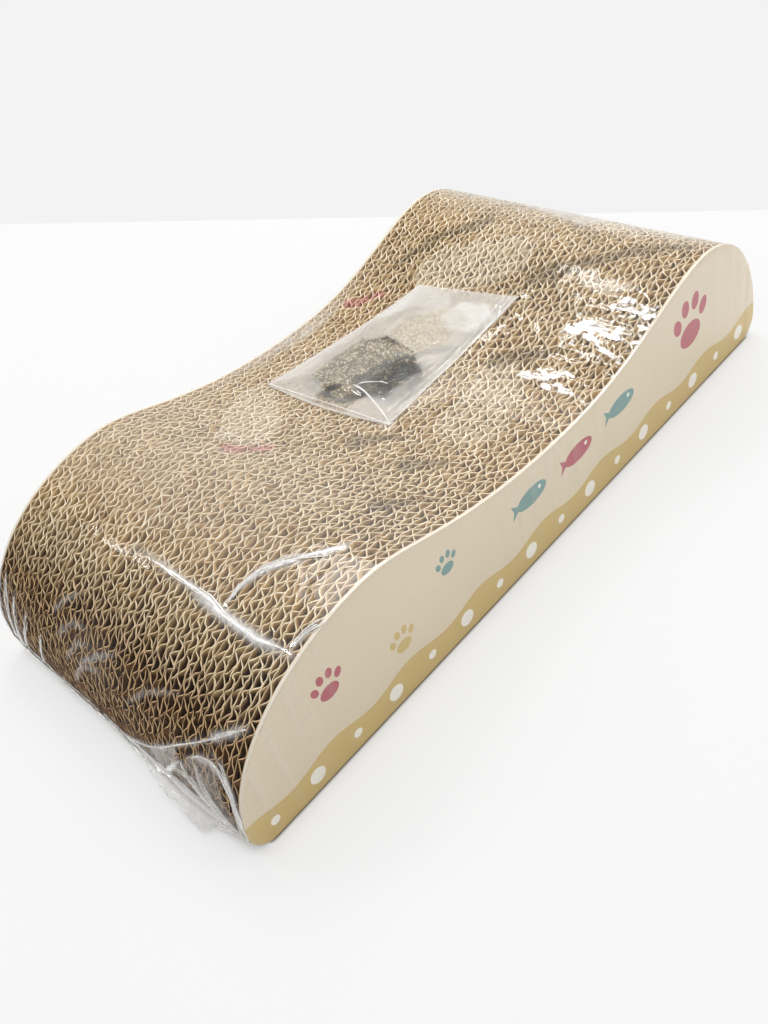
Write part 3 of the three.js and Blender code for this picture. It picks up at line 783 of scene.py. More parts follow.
for edge in [e for e in bm.edges if e.is_boundary and e.verts[0] in below]:
    a, b = edge.link_loops[0].vert, edge.link_loops[0].link_loop_next.vert
    bm.faces.new([b, a, below[a], below[b]])
bmesh.ops.delete(bm, geom=[v for v in bm.verts if not v.link_faces], context="VERTS")
for face in bm.faces:
    face.smooth = True
heap_mesh = bpy.data.meshes.new("catnip_heap")
bm.to_mesh(heap_mesh)
bm.free()
heap_points = points_of(heap_mesh)
mark(heap_mesh, "tone", heap_tone(heap_points[:, 0] - FRONT_X, heap_points[:, 1]))
heap_mesh.materials.append(catnip_material("dried_catnip_heap"))

flake_mesh = bpy.data.meshes.new("flake")
flake_mesh.from_pydata([tuple(c * MM for c in point) for point in FLAKE_POINTS], [], FLAKE_FACES)
flake = bpy.data.objects.new("flake", flake_mesh)
leaf_tree = flake_tree(flake, catnip_material("dried_catnip_leaf"))
flakes = grown(heap_mesh, leaf_tree, {"Density": FLAKES_PER_SQUARE_METRE})
bpy.data.objects.remove(flake)
add_piece("catnip_heap", heap_mesh, "dried_herb", "catnip")
add_piece("catnip_flakes", flakes, "dried_herb")

# Catnip bag
# A flat pouch of clear film about as long as a hand, welded on all four sides. It lies in the dip with its
# welds flat on the boards, and its upper sheet hangs like a tent from the heap to the welds.
BAG_CORNERS = [(196.5, -20.5), (314.0, -19.0), (304.0, 50.5), (189.0, 71.0)]
BAG_BOW = [6.0, 0.5, -6.0, -4.0]  # how far each side curves inwards between its corners
WELD_WIDTH = 3.0
WELD_HEIGHT = 0.12
LEAF_ROOM = 0.35  # between the catnip and the upper sheet, for the loose flakes
SIDE_POINTS = 60
SHEET_GAP = 0.12  # between the bag's upper sheet and what is under it
FOLD_REACH = 0.75  # to either side of a fold's line
UPPER_HAZE, LOWER_HAZE = 0.52, 0.03  # how white the two sheets are
BAG_SHINE = 0.14
FIELD_X = np.arange(150.0, 352.0)  # a grid of one millimetre over the bag and around it
FIELD_Y = np.arange(-62.0, 104.0)
BAG_FOLDS = [  # lines over which the upper sheet is drawn up, with the height at either end
    ([(211, 20), (209.5, 9), (205.5, -3), (197.5, -19)], 4.7, 0.3),
    ([(214, 16), (219, 12), (221.5, 3.5)], 4.9, 4.4),
    ([(204, 52), (191, 69)], 3.8, 0.3),
    ([(250, 51), (276, 60), (291, 55), (302, 49)], 4.6, 0.4),
    ([(222, 62), (250, 66), (276, 60)], 2.6, 3.0),
    ([(254, 14), (279, -3), (294, -14), (311, -17)], 4.2, 0.5),
    ([(258, 36), (283, 42), (292, 18), (297, 10), (294, -14)], 4.0, 1.6),
]


def depth_in(x, y, corners):
    """How far points lie inside any closed outline, negative outside it."""
    crossings = np.zeros(np.shape(x), int)
    for (ax, ay), (bx, by) in zip(corners, corners[1:] + corners[:1]):
        if ay != by:
            spans = (y >= min(ay, by)) & (y < max(ay, by))
            crossings += spans & (x < ax + (y - ay) / (by - ay) * (bx - ax))
    away = line_distance(x, y, corners + corners[:1])[0]
    return np.where(crossings % 2 == 1, away, -away)


def bag_side(number, count):
    """Points along one side of the bag."""
    (ax, ay), (bx, by) = BAG_CORNERS[number], BAG_CORNERS[(number + 1) % 4]
    t = np.linspace(0, 1, count)
    run = math.hypot(bx - ax, by - ay)
    inwards = (-(by - ay) / run, (bx - ax) / run)
    bow = BAG_BOW[number] * np.sin(np.pi * t)
    return np.c_[ax + t * (bx - ax) + bow * inwards[0], ay + t * (by - ay) + bow * inwards[1]]


def bag_place(u, v):
    """Place in the bag's plane, from front to rear and from right to left, each from 0 to 1."""
    right, rear, left, front = (bag_side(number, SIDE_POINTS) for number in range(4))

    def on(side, share):
        stops = np.linspace(0, 1, len(side))
        return np.stack([np.interp(share[..., 0], stops, side[:, axis]) for axis in (0, 1)], -1)

    u, v = u[..., None], v[..., None]
    corners = [np.array(corner) for corner in BAG_CORNERS]
    ruled = (1 - v) * on(right, u) + v * on(left[::-1], u)
    ruled = ruled + (1 - u) * on(front[::-1], v) + u * on(rear, v)
    flat = (1 - u) * ((1 - v) * corners[0] + v * corners[3])
    flat = flat + u * ((1 - v) * corners[1] + v * corners[2])
    return ruled - flat


def stretched(lowest, free, hold, rounds):
    """A film drawn tight over the heights under it, on the field's grid, and flat where it isn't free."""
    film = lowest.copy()
    for _ in range(rounds):
        around = film.copy()
        around[1:-1, 1:-1] = (film[:-2, 1:-1] + film[2:, 1:-1] + film[1:-1, :-2] + film[1:-1, 2:]) / 4
        film = np.where(free, np.maximum(lowest, hold * around), lowest)
    return film


def field_at(field, x, y):
    """Value of a field between its grid points."""
    i = np.clip(x - FIELD_X[0], 0, len(FIELD_X) - 1.001)
    j = np.clip(y - FIELD_Y[0], 0, len(FIELD_Y) - 1.001)
    a, b = np.floor(i).astype(int), np.floor(j).astype(int)
    s, t = i - a, j - b
    return ((1 - s) * (1 - t) * field[a, b] + s * (1 - t) * field[a + 1, b]
            + (1 - s) * t * field[a, b + 1] + s * t * field[a + 1, b + 1])


field_x, field_y = np.meshgrid(FIELD_X, FIELD_Y, indexing="ij")
bag_outline = [tuple(point) for number in range(4) for point in bag_side(number, 12)[:-1]]
bag_depth = depth_in(field_x, field_y, bag_outline)
lowest = heap_height(field_x, field_y)
lowest = np.where(lowest > 0, lowest + LEAF_ROOM, WELD_HEIGHT)
for line, start_height, end_height in BAG_FOLDS:
    distance, share = line_distance(field_x, field_y, line)
    fold = start_height + share * (end_height - start_height)
    lowest = np.where(distance < FOLD_REACH, np.maximum(lowest, fold), lowest)
inner = bag_depth > WELD_WIDTH
bag_over = stretched(np.where(inner, lowest, WELD_HEIGHT), inner, hold=1.0, rounds=500)
bag_over = bag_over + np.where(bag_depth > 6, 0.12 * rough(field_x, field_y, 9.0, 7.0), 0.0)

BAG_HAZE_PATCHES = [  # outline, how white, softness
    ([(189, 72), (206, 56), (236, 59), (262, 55), (282, 46), (304, 47), (300, 60), (276, 78), (230, 80)],
     0.24, 7.0),
    ([(272, 58), (283, 42), (292, 18), (302, 22), (306, 52)], 0.22, 6.0),
    ([(285, 17), (276, 4), (280, -8), (294, -16), (303, -6), (299, 12)], 0.42, 3.0),
    ([(252, 38), (250, 8), (268, -1), (288, -3), (292, 14), (276, 36)], -0.26, 5.0),
    ([(199, 33), (202, 15), (212, -4), (240, -5), (251, 10), (255, 35), (247, 48), (228, 51), (207, 49)],
     -0.34, 3.5),
    ([(190, 33), (192, 9), (208, 8), (206, 34)], -0.34, 3.0),
    ([(208, 14), (214, -7), (240, -8), (249, 4), (240, 14)], -0.12, 4.0),
]


def film_material(name, roughness, ripple_scale, ripple_depth, streaky=0.35, at_edge=0.93):
    """Clear plastic film: the eye looks through it face on, and sees sharp reflections at a slant and milky
    white where it is creased or welded; its whiteness also carries painted highlights and sheen."""
    material, tree = new_material(name)
    place = put(tree, "ShaderNodeTexCoord").outputs["Object"]
    haze = put(tree, "ShaderNodeAttribute", attribute_name="haze")
    ripples = put(tree, "ShaderNodeTexNoise", {"Vector": place, "Scale": ripple_scale, "Detail": 2.0})
    streaks = put(tree, "ShaderNodeMapping", {
        "Vector": place, "Scale": (1.0, 0.25, 1.0), "Rotation": (0, 0, 0.6)})
    streaks = put(tree, "ShaderNodeTexNoise", {"Vector": streaks, "Scale": 700.0, "Detail": 3.0})
    relief = put(tree, "ShaderNodeMix", {0: 0.35, 2: ripples, 3: streaks}, data_type="FLOAT")
    bump = put(tree, "ShaderNodeBump", {"Height": relief, "Strength": 1.0, "Distance": ripple_depth * MM})
    cloud = put(tree, "ShaderNodeMapRange", {0: streaks, 1: 0.3, 2: 0.7, 3: 1 - streaky, 4: 1 + streaky})
    white = put(tree, "ShaderNodeMath", {0: haze.outputs["Fac"], 1: cloud}, operation="MULTIPLY",
                use_clamp=True)
    clear = put(tree, "ShaderNodeBsdfTransparent", {"Color": linear("#FEFEFE")})
    near = put(tree, "ShaderNodeBsdfDiffuse", {"Color": linear("#F6F4F0")})
    through = put(tree, "ShaderNodeBsdfTranslucent", {"Color": linear("#F6F4F0")})
    milky = put(tree, "ShaderNodeMixShader", {0: 0.3, 1: near, 2: through})
    body = put(tree, "ShaderNodeMixShader", {0: white, 1: clear, 2: milky})
    gloss = put(tree, "ShaderNodeBsdfAnisotropic", {"Color": linear("#FFFFFF"), "Roughness": roughness,
                                                    "Normal": bump})
    slant = put(tree, "ShaderNodeLayerWeight", {"Blend": 0.5, "Normal": bump})
    slant = put(tree, "ShaderNodeMath", {0: slant.outputs["Facing"], 1: 5.0}, operation="POWER")
    mirror = put(tree, "ShaderNodeMath", {0: slant, 1: at_edge, 2: 0.066}, operation="MULTIPLY_ADD")
    shine = put(tree, "ShaderNodeAttribute", attribute_name="shine")
    mirror = put(tree, "ShaderNodeMath", {0: mirror, 1: shine.outputs["Fac"]}, operation="MULTIPLY",
                 use_clamp=True)
    film = put(tree, "ShaderNodeMixShader", {0: mirror, 1: body, 2: gloss})
    put(tree, "ShaderNodeOutputMaterial", {0: film})
    return material


def set_film_values(mesh, haze, shine):
    """How white and how shiny the film is at each of its points."""
    mark(mesh, "haze", np.clip(haze, 0, 0.96))
    mark(mesh, "shine", shine)


def sheet_mesh(name, x, y, z, faces, haze, shine, film):
    """A smooth sheet of film through points in millimetres, x from the front end and z from the table."""
    mesh = bpy.data.meshes.new(name)
    mesh.from_pydata((np.c_[np.ravel(x) + FRONT_X, np.ravel(y), np.ravel(z)] * MM).tolist(), [], faces)
    set_film_values(mesh, haze, shine)
    mesh.shade_smooth()
    mesh.materials.append(film)
    return mesh


ALONG_BAG, ACROSS_BAG = 111, 85  # points along and across each sheet
RIDGE_INSETS = (2.0, 4.5, 8.0)  # of three low ridges beside the weld at the right
u, v = np.meshgrid(np.linspace(0, 1, ALONG_BAG), np.linspace(0, 1, ACROSS_BAG), indexing="ij")
bag_x, bag_y = np.moveaxis(bag_place(u, v), -1, 0)
seat = wave_height(bag_x) + BASE_Z + BAG_FLOOR
ridges = 0.0
for inset in RIDGE_INSETS:
    line = [(198 + inset, -19.5 + inset), (312, -18 + inset)]
    ridges = ridges + np.exp(-(line_distance(bag_x, bag_y, line)[0] / 0.45) ** 2)
over = seat + field_at(bag_over, bag_x, bag_y) + SHEET_GAP + 0.35 * ridges
haze = np.full(bag_x.shape, UPPER_HAZE)
for corners, amount, soft in BAG_HAZE_PATCHES:
    depth = depth_in(bag_x, bag_y, corners) + 1.5 * rough(bag_x, bag_y, 6.0, 61.0)
    haze = haze + amount * np.clip(0.5 + depth / soft, 0, 1)
haze = haze + 0.22 * np.clip(ridges, 0, 1) + 0.10 * (np.minimum(v, 1 - v) < 0.035)
# A white line along the front weld: partly the weld's own white, partly a painted glint.
front_line = line_distance(bag_x, bag_y, [tuple(point) for point in bag_side(3, 20)])[0]
haze = haze + 0.45 * np.exp(-(front_line / 0.9) ** 2)
total = bag_x.size
faces = quads(ALONG_BAG, ACROSS_BAG)
faces += [tuple(total + k for k in reversed(face)) for face in faces]
last_i, last_j = ALONG_BAG - 1, ACROSS_BAG - 1
rim = [(i, 0) for i in range(last_i)] + [(last_i, j) for j in range(last_j)]
rim += [(i, last_j) for i in range(last_i, 0, -1)] + [(0, j) for j in range(last_j, 0, -1)]
rim = [i * ACROSS_BAG + j for i, j in rim]
faces += [(b, a, total + a, total + b) for a, b in zip(rim, rim[1:] + rim[:1])]
bag_film = film_material(
    "milky_bag_film", roughness=0.05, ripple_scale=120.0, ripple_depth=0.06, streaky=0.08)
bag_mesh = sheet_mesh(
    "catnip_pouch", [bag_x, bag_x], [bag_y, bag_y], [over, seat], faces,
    [haze, np.full(haze.shape, LOWER_HAZE)], np.full(2 * total, BAG_SHINE), bag_film)
add_piece("catnip_pouch", bag_mesh, "bag_film", "catnip_bag")

# Shrink wrap
# Clear shrink film drawn tight over the top, ends and sides by heat, and joined to a second web under the
# base. It rests on the cut edges, stands off round the bag like a tent, and creases over the front hump.
FILM_GAP = 0.3
TENT_GAP = 0.75  # over the bag
FILM_STEPS = (0.9, 1.5, 2.4)  # between its points: where it is creased, down the front end, and elsewhere
FILM_FOOT = -0.4  # where the upper web ends, from the underside of the boards
HALF_WIDTH = -cover_low.y / MM
UNDER_HEIGHT = 0.28  # of the lower web over the table
UNDER_HAZE = 0.04
FLAT_SHINE = 0.5  # over the covers and under the base
RIM_INSET = 0.6  # how far from the covers' outer faces the top of the film turns down
FINE_RUNS = [(100.0, 172.0), (316.0, 398.0)]  # where creases and folds need the points to stand closer
# The whiteness of the creases is partly the creased film's own and partly a painted highlight.
CREASES = [  # over the front hump: line as (run along the outline from the base, y), height, width, whiteness
    ([(112, 8), (111, -45), (108, -55), (108, -80), (111, -99)], 0.3, 1.5, 0.6),
    ([(110, -30), (108.5, -55), (108, -80), (110, -100)], 0.1, 2.2, 0.9),
    ([(112, 22), (112, 0), (111, -40), (109, -90)], 0.1, 4.0, 0.10),
    ([(109, -54), (122, -55), (134, -60), (146, -69), (162, -81), (172, -82)], 0.6, 1.3, 0.9),
    ([(120, -54), (134, -57), (147, -66), (155, -78), (164, -80)], 0.3, 0.9, 0.7),
    ([(112, -97), (120, -99), (128, -102)], 0.3, 1.5, 0.6),
]
FRONT_FOLDS = [  # down the front end, fanning out from the seam's corners, as above
    ([(16, 89), (34, 92), (62, 97)], 1.0, 0.9, 0.5),
    ([(16, 88), (30, 86), (56, 85)], 0.9, 0.8, 0.45),
    ([(17, 84), (32, 78), (52, 72)], 0.8, 0.8, 0.35),
    ([(20, 99), (40, 101), (66, 102)], 0.8, 0.9, 0.5),
    ([(17, 66), (30, 62), (44, 58)], 0.6, 0.7, 0.3),
    ([(20, 6), (17, -7), (30, -35), (41, -52), (56, -73), (67, -87), (75, -97)], 1.0, 0.9, 0.28),
    ([(60, -78), (67, -87), (76, -98)], 0.3, 1.6, 0.5),
    ([(17, -103), (33, -101), (43, -98), (50, -90), (52, -83), (50, -75), (45, -68)], 1.2, 1.2, 0.5),
    ([(18, -103), (33, -104), (45, -99), (54, -90), (57, -80)], 1.0, 1.0, 0.4),
    ([(17, -103), (26, -82), (34, -67), (30, -54)], 1.2, 1.0, 0.4),
    ([(17, -103), (24, -92), (36, -78), (48, -72)], 1.2, 1.0, 0.4),
    ([(21, -45), (28, -52), (39, -61)], 1.4, 1.0, 0.7),
    ([(46, 22), (56, 8), (66, -9)], 0.6, 1.2, 0.26),
    ([(40, 34), (56, 24), (60, 12)], 0.6, 1.0, 0.22),
    ([(30, 30), (46, 18), (52, 0)], 0.5, 1.0, 0.24),
    ([(44, -18), (60, -34), (70, -56)], 0.5, 1.0, 0.22),
    ([(60, 50), (72, 40), (80, 30)], 0.4, 1.2, 0.22),
    ([(50, 44), (64, 30), (66, 16)], 0.4, 1.2, 0.20),
]
# The broad ones over the top, across the dip and past the rear crest are a painted sheen of reflected light;
# the rest are the film's own haze.
HAZE_AND_SHEEN_PATCHES = [  # centre as (run, y), half sizes, whiteness
    ((26, 92), (22, 12), 0.22),
    ((56, 12), (13, 24), 0.08),
    ((14, 40), (9, 60), 0.14),
    ((290, 99), (54, 7), 0.40),
    ((306, 93), (26, 4), 0.26),
    ((180, 20), (36, 110), 0.10),
    ((140, 20), (30, 90), 0.06),
    ((452, 0), (24, 120), 0.30),
    ((252, 0), (62, 130), 0.06),
]
HAZE_OUTLINES = [  # outline in (run, y), whiteness, softness, how far the film stands off there
    ([(21, -45), (39, -61), (45, -68), (50, -75), (52, -84), (48, -89), (39, -91), (32, -97), (26, -103),
     (15, -103), (12, -80), (13, -50)], 0.27, 3.0, 0.8),
    ([(28, -34), (38, -47), (44, -58), (40, -60), (30, -52), (22, -44), (15, -38), (15, -28)],
     0.60, 2.0, 0.0),
    ([(20, 6), (17, -7), (27, -30), (15, -38), (8, -30), (8, 8)], 0.35, 3.0, 0.0),
    ([(453, 34), (437, -22), (460, -34), (452, -52), (462, -72), (480, -60), (490, 20)], 0.30, 2.0, 0.0),
]
PAINTED_GLINTS = [  # outlines in (run, y) of painted glints on the folds beside the bag, where the film stands free of the boards
    [(324, -53), (328, -56), (332, -62), (336, -73), (335, -79), (332, -76), (326, -72), (324, -66),
     (323, -60)],
    [(321, -68), (326, -73), (327, -80), (325, -87), (322, -94), (321, -84), (320, -76)],
    [(359, -57), (364, -58), (368, -62), (372, -69), (371, -75), (372, -84), (372, -90), (365, -91),
     (365, -77), (361, -70), (361, -63)],
    [(362, -66), (364, -74), (361, -80), (358, -86), (356, -92), (354, -100), (350, -101), (352, -96),
     (354, -88), (358, -82), (360, -73)],
    [(384, -74), (388, -77), (391, -80), (392, -86), (390, -90), (390, -96), (392, -101), (388, -100),
     (384, -103), (381, -98), (383, -94), (384, -84), (382, -76)],
    [(379, -94), (380, -102), (375, -103), (374, -99)],
    [(337, -72), (337.8, -73), (333.6, -84), (332.8, -84)],
    [(368.5, -90), (369.6, -90), (371.6, -103), (370.4, -103)],
    [(365.2, -91), (366.2, -91), (366.8, -103), (365.6, -103)],
    [(378.4, -81), (379.2, -81), (383.8, -102), (382.6, -102)],
    [(322, -93), (323, -93), (319, -101), (318, -101)],
]


def side_ripple(x, share):
    """How far the film stands off a cover: upright wrinkles that fade towards the base."""
    wrinkles = np.sin(x / 2.3 + 2.0 * np.sin(x / 17.0)) + 0.6 * np.sin(x / 1.1 + 1.3)
    where = 0.35 + 0.65 * np.clip(np.sin(x / 31.0 + 0.6), 0, 1)
    return 0.16 * where * (1 + wrinkles) * np.clip(1.1 - share, 0, 1)


outline = np.vstack([front_tuck, wave[1:-1], rear_tuck])
run = run_along(outline)
stops = [0.0]
while stops[-1] < run[-1]:
    here = stops[-1]
    fine = any(start < here < end for start, end in FINE_RUNS)
    stops.append(here + FILM_STEPS[0 if fine else 1 if here < FINE_RUNS[0][1] else 2])
stops = np.array(stops[:-1] + [run[-1]])
across = np.r_[  # closer together on the right, where it is creased
    np.linspace(-HALF_WIDTH + RIM_INSET, -45, 78), np.linspace(-43.8, HALF_WIDTH - RIM_INSET, 112)]
down = np.linspace(0, 1, 17)  # the side of a cover
film_s, film_y = np.meshgrid(stops, across, indexing="ij")
top_x, top_z = np.interp(film_s, run, outline[:, 0]), np.interp(film_s, run, outline[:, 1])
tangent = np.gradient(np.c_[top_x[:, 0], top_z[:, 0]], axis=0)
tangent /= np.linalg.norm(tangent, axis=1)[:, None]
normal_x, normal_z = -tangent[:, 1:2], tangent[:, 0:1]

# It hangs like a tent over the bag, sags a little between the cut edges, and carries the creases and folds.
tent = np.where(bag_depth > -1, bag_over + TENT_GAP, 0.0)
tent = stretched(tent, np.full(tent.shape, True), hold=0.993, rounds=400)
over_field = (top_x > FIELD_X[0]) & (top_x < FIELD_X[-1]) & (film_y > FIELD_Y[0]) & (film_y < FIELD_Y[-1])
lift = np.where(over_field, field_at(tent, top_x, film_y), 0.0)
sag = 0.16 * rough(film_s, film_y, 11.0, 21.0) + 0.10 * rough(film_s, film_y * 0.5, 4.0, 22.0)
# Painted sheen: the film is drawn a little whiter over the top than down the front end.
film_haze_and_sheen = np.interp(film_s, [0, 90, 150, 480], [0.004, 0.006, 0.03, 0.03])
film_haze_and_sheen = film_haze_and_sheen * (1 + 0.6 * rough(film_s, film_y, 30.0, 23.0))
film_shine = np.interp(
    film_s, [0, 90, 150, 290, 330, 420, 450, 480], [0.1, 0.12, 0.9, 0.6, 0.14, 0.14, 0.8, 0.9])
jitter = rough(film_s, film_y, 4.5, 24.0) + 1.3 * rough(film_s * 0.4, film_y, 1.5, 28.0)
for line, height, width, white in CREASES + FRONT_FOLDS:
    distance, share = line_distance(film_s + 0.5 * jitter, film_y + 0.5 * jitter, line)
    fade = np.clip(4 * share, 0.05, 1) * np.clip(4 * (1 - share), 0.25, 1)
    lift = lift + height * fade * np.exp(-(distance / width) ** 2)
    film_haze_and_sheen = film_haze_and_sheen + white * fade * np.exp(-(distance / (0.8 * width)) ** 2)
    film_shine = np.maximum(film_shine, 5 * white * fade * np.exp(-(distance / (1.4 * width)) ** 2))
for (centre_s, centre_y), (half_s, half_y), white in HAZE_AND_SHEEN_PATCHES:
    away = np.hypot((film_s - centre_s) / half_s, (film_y - centre_y) / half_y)
    film_haze_and_sheen = film_haze_and_sheen + white * np.exp(-away ** 2) * (0.75 + 0.5 * rough(film_s, film_y, 5.0, 25.0))
for corners, white, soft, stand_off in HAZE_OUTLINES:
    depth = depth_in(film_s, film_y, corners) + 0.8 * rough(film_s, film_y, 4.0, 27.0)
    inside = np.clip(0.5 + depth / soft, 0, 1)
    film_haze_and_sheen = film_haze_and_sheen + white * inside * (1 + 0.5 * rough(film_s, film_y, 6.0, 29.0))
    lift = lift + stand_off * inside
# Painted highlights: the film is drawn white inside each glint, and shinier so it mirrors the small lamp.
for corners in PAINTED_GLINTS:
    depth = depth_in(film_s + 0.6 * jitter, film_y + 0.6 * jitter, corners)
    gaps = np.clip(1.15 + 4.5 * rough(film_s, film_y * 0.5, 2.4, 30.0), 0.06, 1)
    strands = np.clip(0.95 + 2.2 * rough(film_s + 0.25 * film_y, film_y * 0.22, 1.3, 31.0), 0.1, 1)
    painted_glint = np.clip(0.5 + depth / 0.8, 0, 1) * gaps * strands
    film_haze_and_sheen = film_haze_and_sheen + 0.8 * painted_glint
    film_shine = np.maximum(film_shine, 2.6 * painted_glint)
film_shine = film_shine * np.where((lift > 1.0) & (film_s > 172), 0.18, 1.0)  # duller over the bag
soft_start = np.exp(-((film_s - 112) / 9) ** 2) * np.clip((film_y + 40) / 45, 0, 1)  # of the long crease
film_shine = film_shine * (1 - 0.85 * soft_start)
film_haze_and_sheen = film_haze_and_sheen + 0.12 * soft_start * np.exp(-((film_s - 112) / 3) ** 2) * (film_y < 16)
folds_at_rim = np.clip((-45 - film_y) / 40, 0, 1) * np.exp(-((film_s - 356) / 42) ** 4)
lift = lift + 0.55 * folds_at_rim * (1 + rough(film_s, film_y * 0.12, 6.5, 26.0))

gap = FILM_GAP + lift + np.abs(sag)
top_place = np.stack([top_x + normal_x * gap, film_y, np.maximum(top_z + normal_z * gap, FILM_FOOT)], -1)
rim_x = top_x[:, :1] + normal_x * 0.2
rim_z = np.maximum(top_z[:, :1] + normal_z * 0.2, FILM_FOOT)
side_x = rim_x + down * (np.clip(rim_x, TUCK_RUN, LENGTH - TUCK_RUN) - rim_x)
side_z = rim_z + down * (FILM_FOOT - rim_z)
side_y = HALF_WIDTH + 0.25 + side_ripple(side_x, down) * (0.2 + np.clip(down, 0, 0.1) * 8)
right_side = np.stack([side_x, -side_y, side_z], -1)[:, ::-1]
left_side = np.stack([side_x, side_y, side_z], -1)
film_place = np.concatenate([right_side, top_place, left_side], axis=1)
side_haze = 0.02 + 0.28 * np.clip(side_ripple(side_x, 0 * down) / 0.3 - 0.5, 0, 1) * (1.1 - down)
film_haze_and_sheen = np.concatenate([side_haze[:, ::-1], film_haze_and_sheen, side_haze], axis=1)
side_shine = np.full(side_haze.shape, FLAT_SHINE)
film_shine = np.concatenate([side_shine, film_shine, side_shine], axis=1)
shrink_film = film_material("clear_shrink_film", roughness=0.05, ripple_scale=260.0, ripple_depth=0.05)
wrap_mesh = sheet_mesh(
    "shrink_film_upper", film_place[..., 0], film_place[..., 1], film_place[..., 2] + BASE_Z,
    quads(*film_haze_and_sheen.shape), film_haze_and_sheen, film_shine, shrink_film)
add_piece("shrink_film_upper", wrap_mesh, "shrink_film", "wrap_upper_web")

under_x, under_y = np.meshgrid(
    np.linspace(TUCK_RUN, LENGTH - TUCK_RUN, 82), np.linspace(-HALF_WIDTH - 0.3, HALF_WIDTH + 0.3, 42),
    indexing="ij")
under_z = UNDER_HEIGHT + 0.14 * rough(under_x, under_y, 22.0, 31.0)
under_mesh = sheet_mesh(
    "shrink_film_lower", under_x, under_y, under_z, quads(*under_x.shape, turned=True),
    np.full(under_x.size, UNDER_HAZE), np.full(under_x.size, FLAT_SHINE), shrink_film)
add_piece("shrink_film_lower", under_mesh, "shrink_film", "wrap_lower_web")

# Gathered seam
# Where the two webs are welded together at the foot of each end, the hot film has drawn itself into a rope of
# fine pleats. Its path is (x, y, z) from the end of the boards and their underside.
FRONT_ROPE = [(0.2, 103, 14), (-0.7, 88, 9.5), (-1.0, 60, 8), (-0.9, 36, 8), (-1.0, 6, 9), (-1.6, -10, 7.5),
              (-2.4, -38, 6), (-3.2, -58, 5), (-2.4, -76, 5.5), (-1.1, -92, 7), (0.3, -103, 9.5)]
REAR_ROPE = [(0.2, 103, 12), (-0.7, 80, 8), (-1.0, 40, 9), (-0.9, 0, 7), (-1.0, -40, 8.5), (-0.8, -80, 8),
             (0.2, -103, 12)]
ROPE_POINTS = 130  # along each pleat of a rope
PLEAT_SWELL = (0.5, 1.8)  # how thin and how thick a pleat gets, of its own radius
PLEAT_SHINE = 4.5


def along_path(path, share):
    """Points at shares of the length of a path."""
    path = np.array(path, float)
    run = run_along(path)
    return np.stack([np.interp(np.asarray(share) * run[-1], run, path[:, k]) for k in range(3)], -1)


def rope_lines(path, strands, seed):
    """Open lines that wander round a path, one for each pleat of a rope of film."""
    lines = []
    share = np.linspace(0, 1, ROPE_POINTS)
    for strand in range(strands):
        line = along_path(path, share)
        for axis, amount in ((0, 0.8), (2, 1.5)):
            wander = rough(9 * share, seed + 3.3 * strand, 1.0, 7.0 * axis)
            line[:, axis] += amount * wander * np.sin(np.pi * share) ** 0.3
        line[:, 0] = np.minimum(line[:, 0], np.where(np.abs(line[:, 1]) < 100, -0.55, 9.0))
        lines.append(line)
    return lines


def pleat_tree(film):
    """Turns lines into round pleats that swell and thin along their length."""
    tree = bpy.data.node_groups.new("film_pleats", "GeometryNodeTree")
    given, result = add_sockets(tree, {"Radius": 0.3 * MM, "Film": film})
    lines = put(tree, "GeometryNodeMeshToCurve", {"Mesh": given["Geometry"]})
    place = put(tree, "GeometryNodeInputPosition")
    swell = put(tree, "ShaderNodeTexNoise", {"Vector": place, "Scale": 140.0})
    swell = put(tree, "ShaderNodeMapRange", {0: swell, 1: 0.3, 2: 0.7, 3: PLEAT_SWELL[0], 4: PLEAT_SWELL[1]})
    radius = put(tree, "ShaderNodeMath", {0: swell, 1: given["Radius"]}, operation="MULTIPLY")
    profile = put(tree, "GeometryNodeCurvePrimitiveCircle", {"Resolution": 6, "Radius": 1.0})
    tubes = put(tree, "GeometryNodeCurveToMesh", {"Curve": lines, "Profile Curve": profile, "Scale": radius,
                                                  "Fill Caps": True})
    real = put(tree, "GeometryNodeRealizeInstances", {0: tubes})
    done = put(tree, "GeometryNodeSetMaterial", {"Geometry": real, "Material": given["Film"]})
    tree.links.new(done.outputs[0], result["Geometry"])
    return tree


gathered_film = film_material(
    "gathered_shrink_film", roughness=0.3, ripple_scale=300.0, ripple_depth=0.05, at_edge=0.08)
pleats = pleat_tree(gathered_film)


def pleated(lines, radius, haze):
    """A mesh of fine round pleats along lines, each a row of points in millimetres."""
    verts, edges = [], []
    for line in lines:
        edges += [(len(verts) + k, len(verts) + k + 1) for k in range(len(line) - 1)]
        verts += [tuple(c * MM for c in point) for point in line]
    threads = bpy.data.meshes.new("pleat_lines")
    threads.from_pydata(verts, edges, [])
    mesh = grown(threads, pleats, {"Radius": radius * MM})
    uneven = [noise.noise(Vector(place) / 6) for place in points_of(mesh)]
    haze = haze * np.clip(0.95 + 0.9 * np.array(uneven), 0.35, 1.04)
    set_film_values(mesh, haze, np.full(len(uneven), PLEAT_SHINE))
    mesh.shade_smooth()
    return mesh


for end, path, strands, seed, turn, start_x in (
        ("front", FRONT_ROPE, 16, 40.0, 1, FRONT_X), ("rear", REAR_ROPE, 8, 60.0, -1, FRONT_X + LENGTH)):
    lines = [line * (turn, 1, 1) + (start_x, 0, BASE_Z) for line in rope_lines(path, strands, seed)]
    add_piece(f"gathered_film_{end}", pleated(lines, radius=0.36, haze=0.92), "shrink_film")

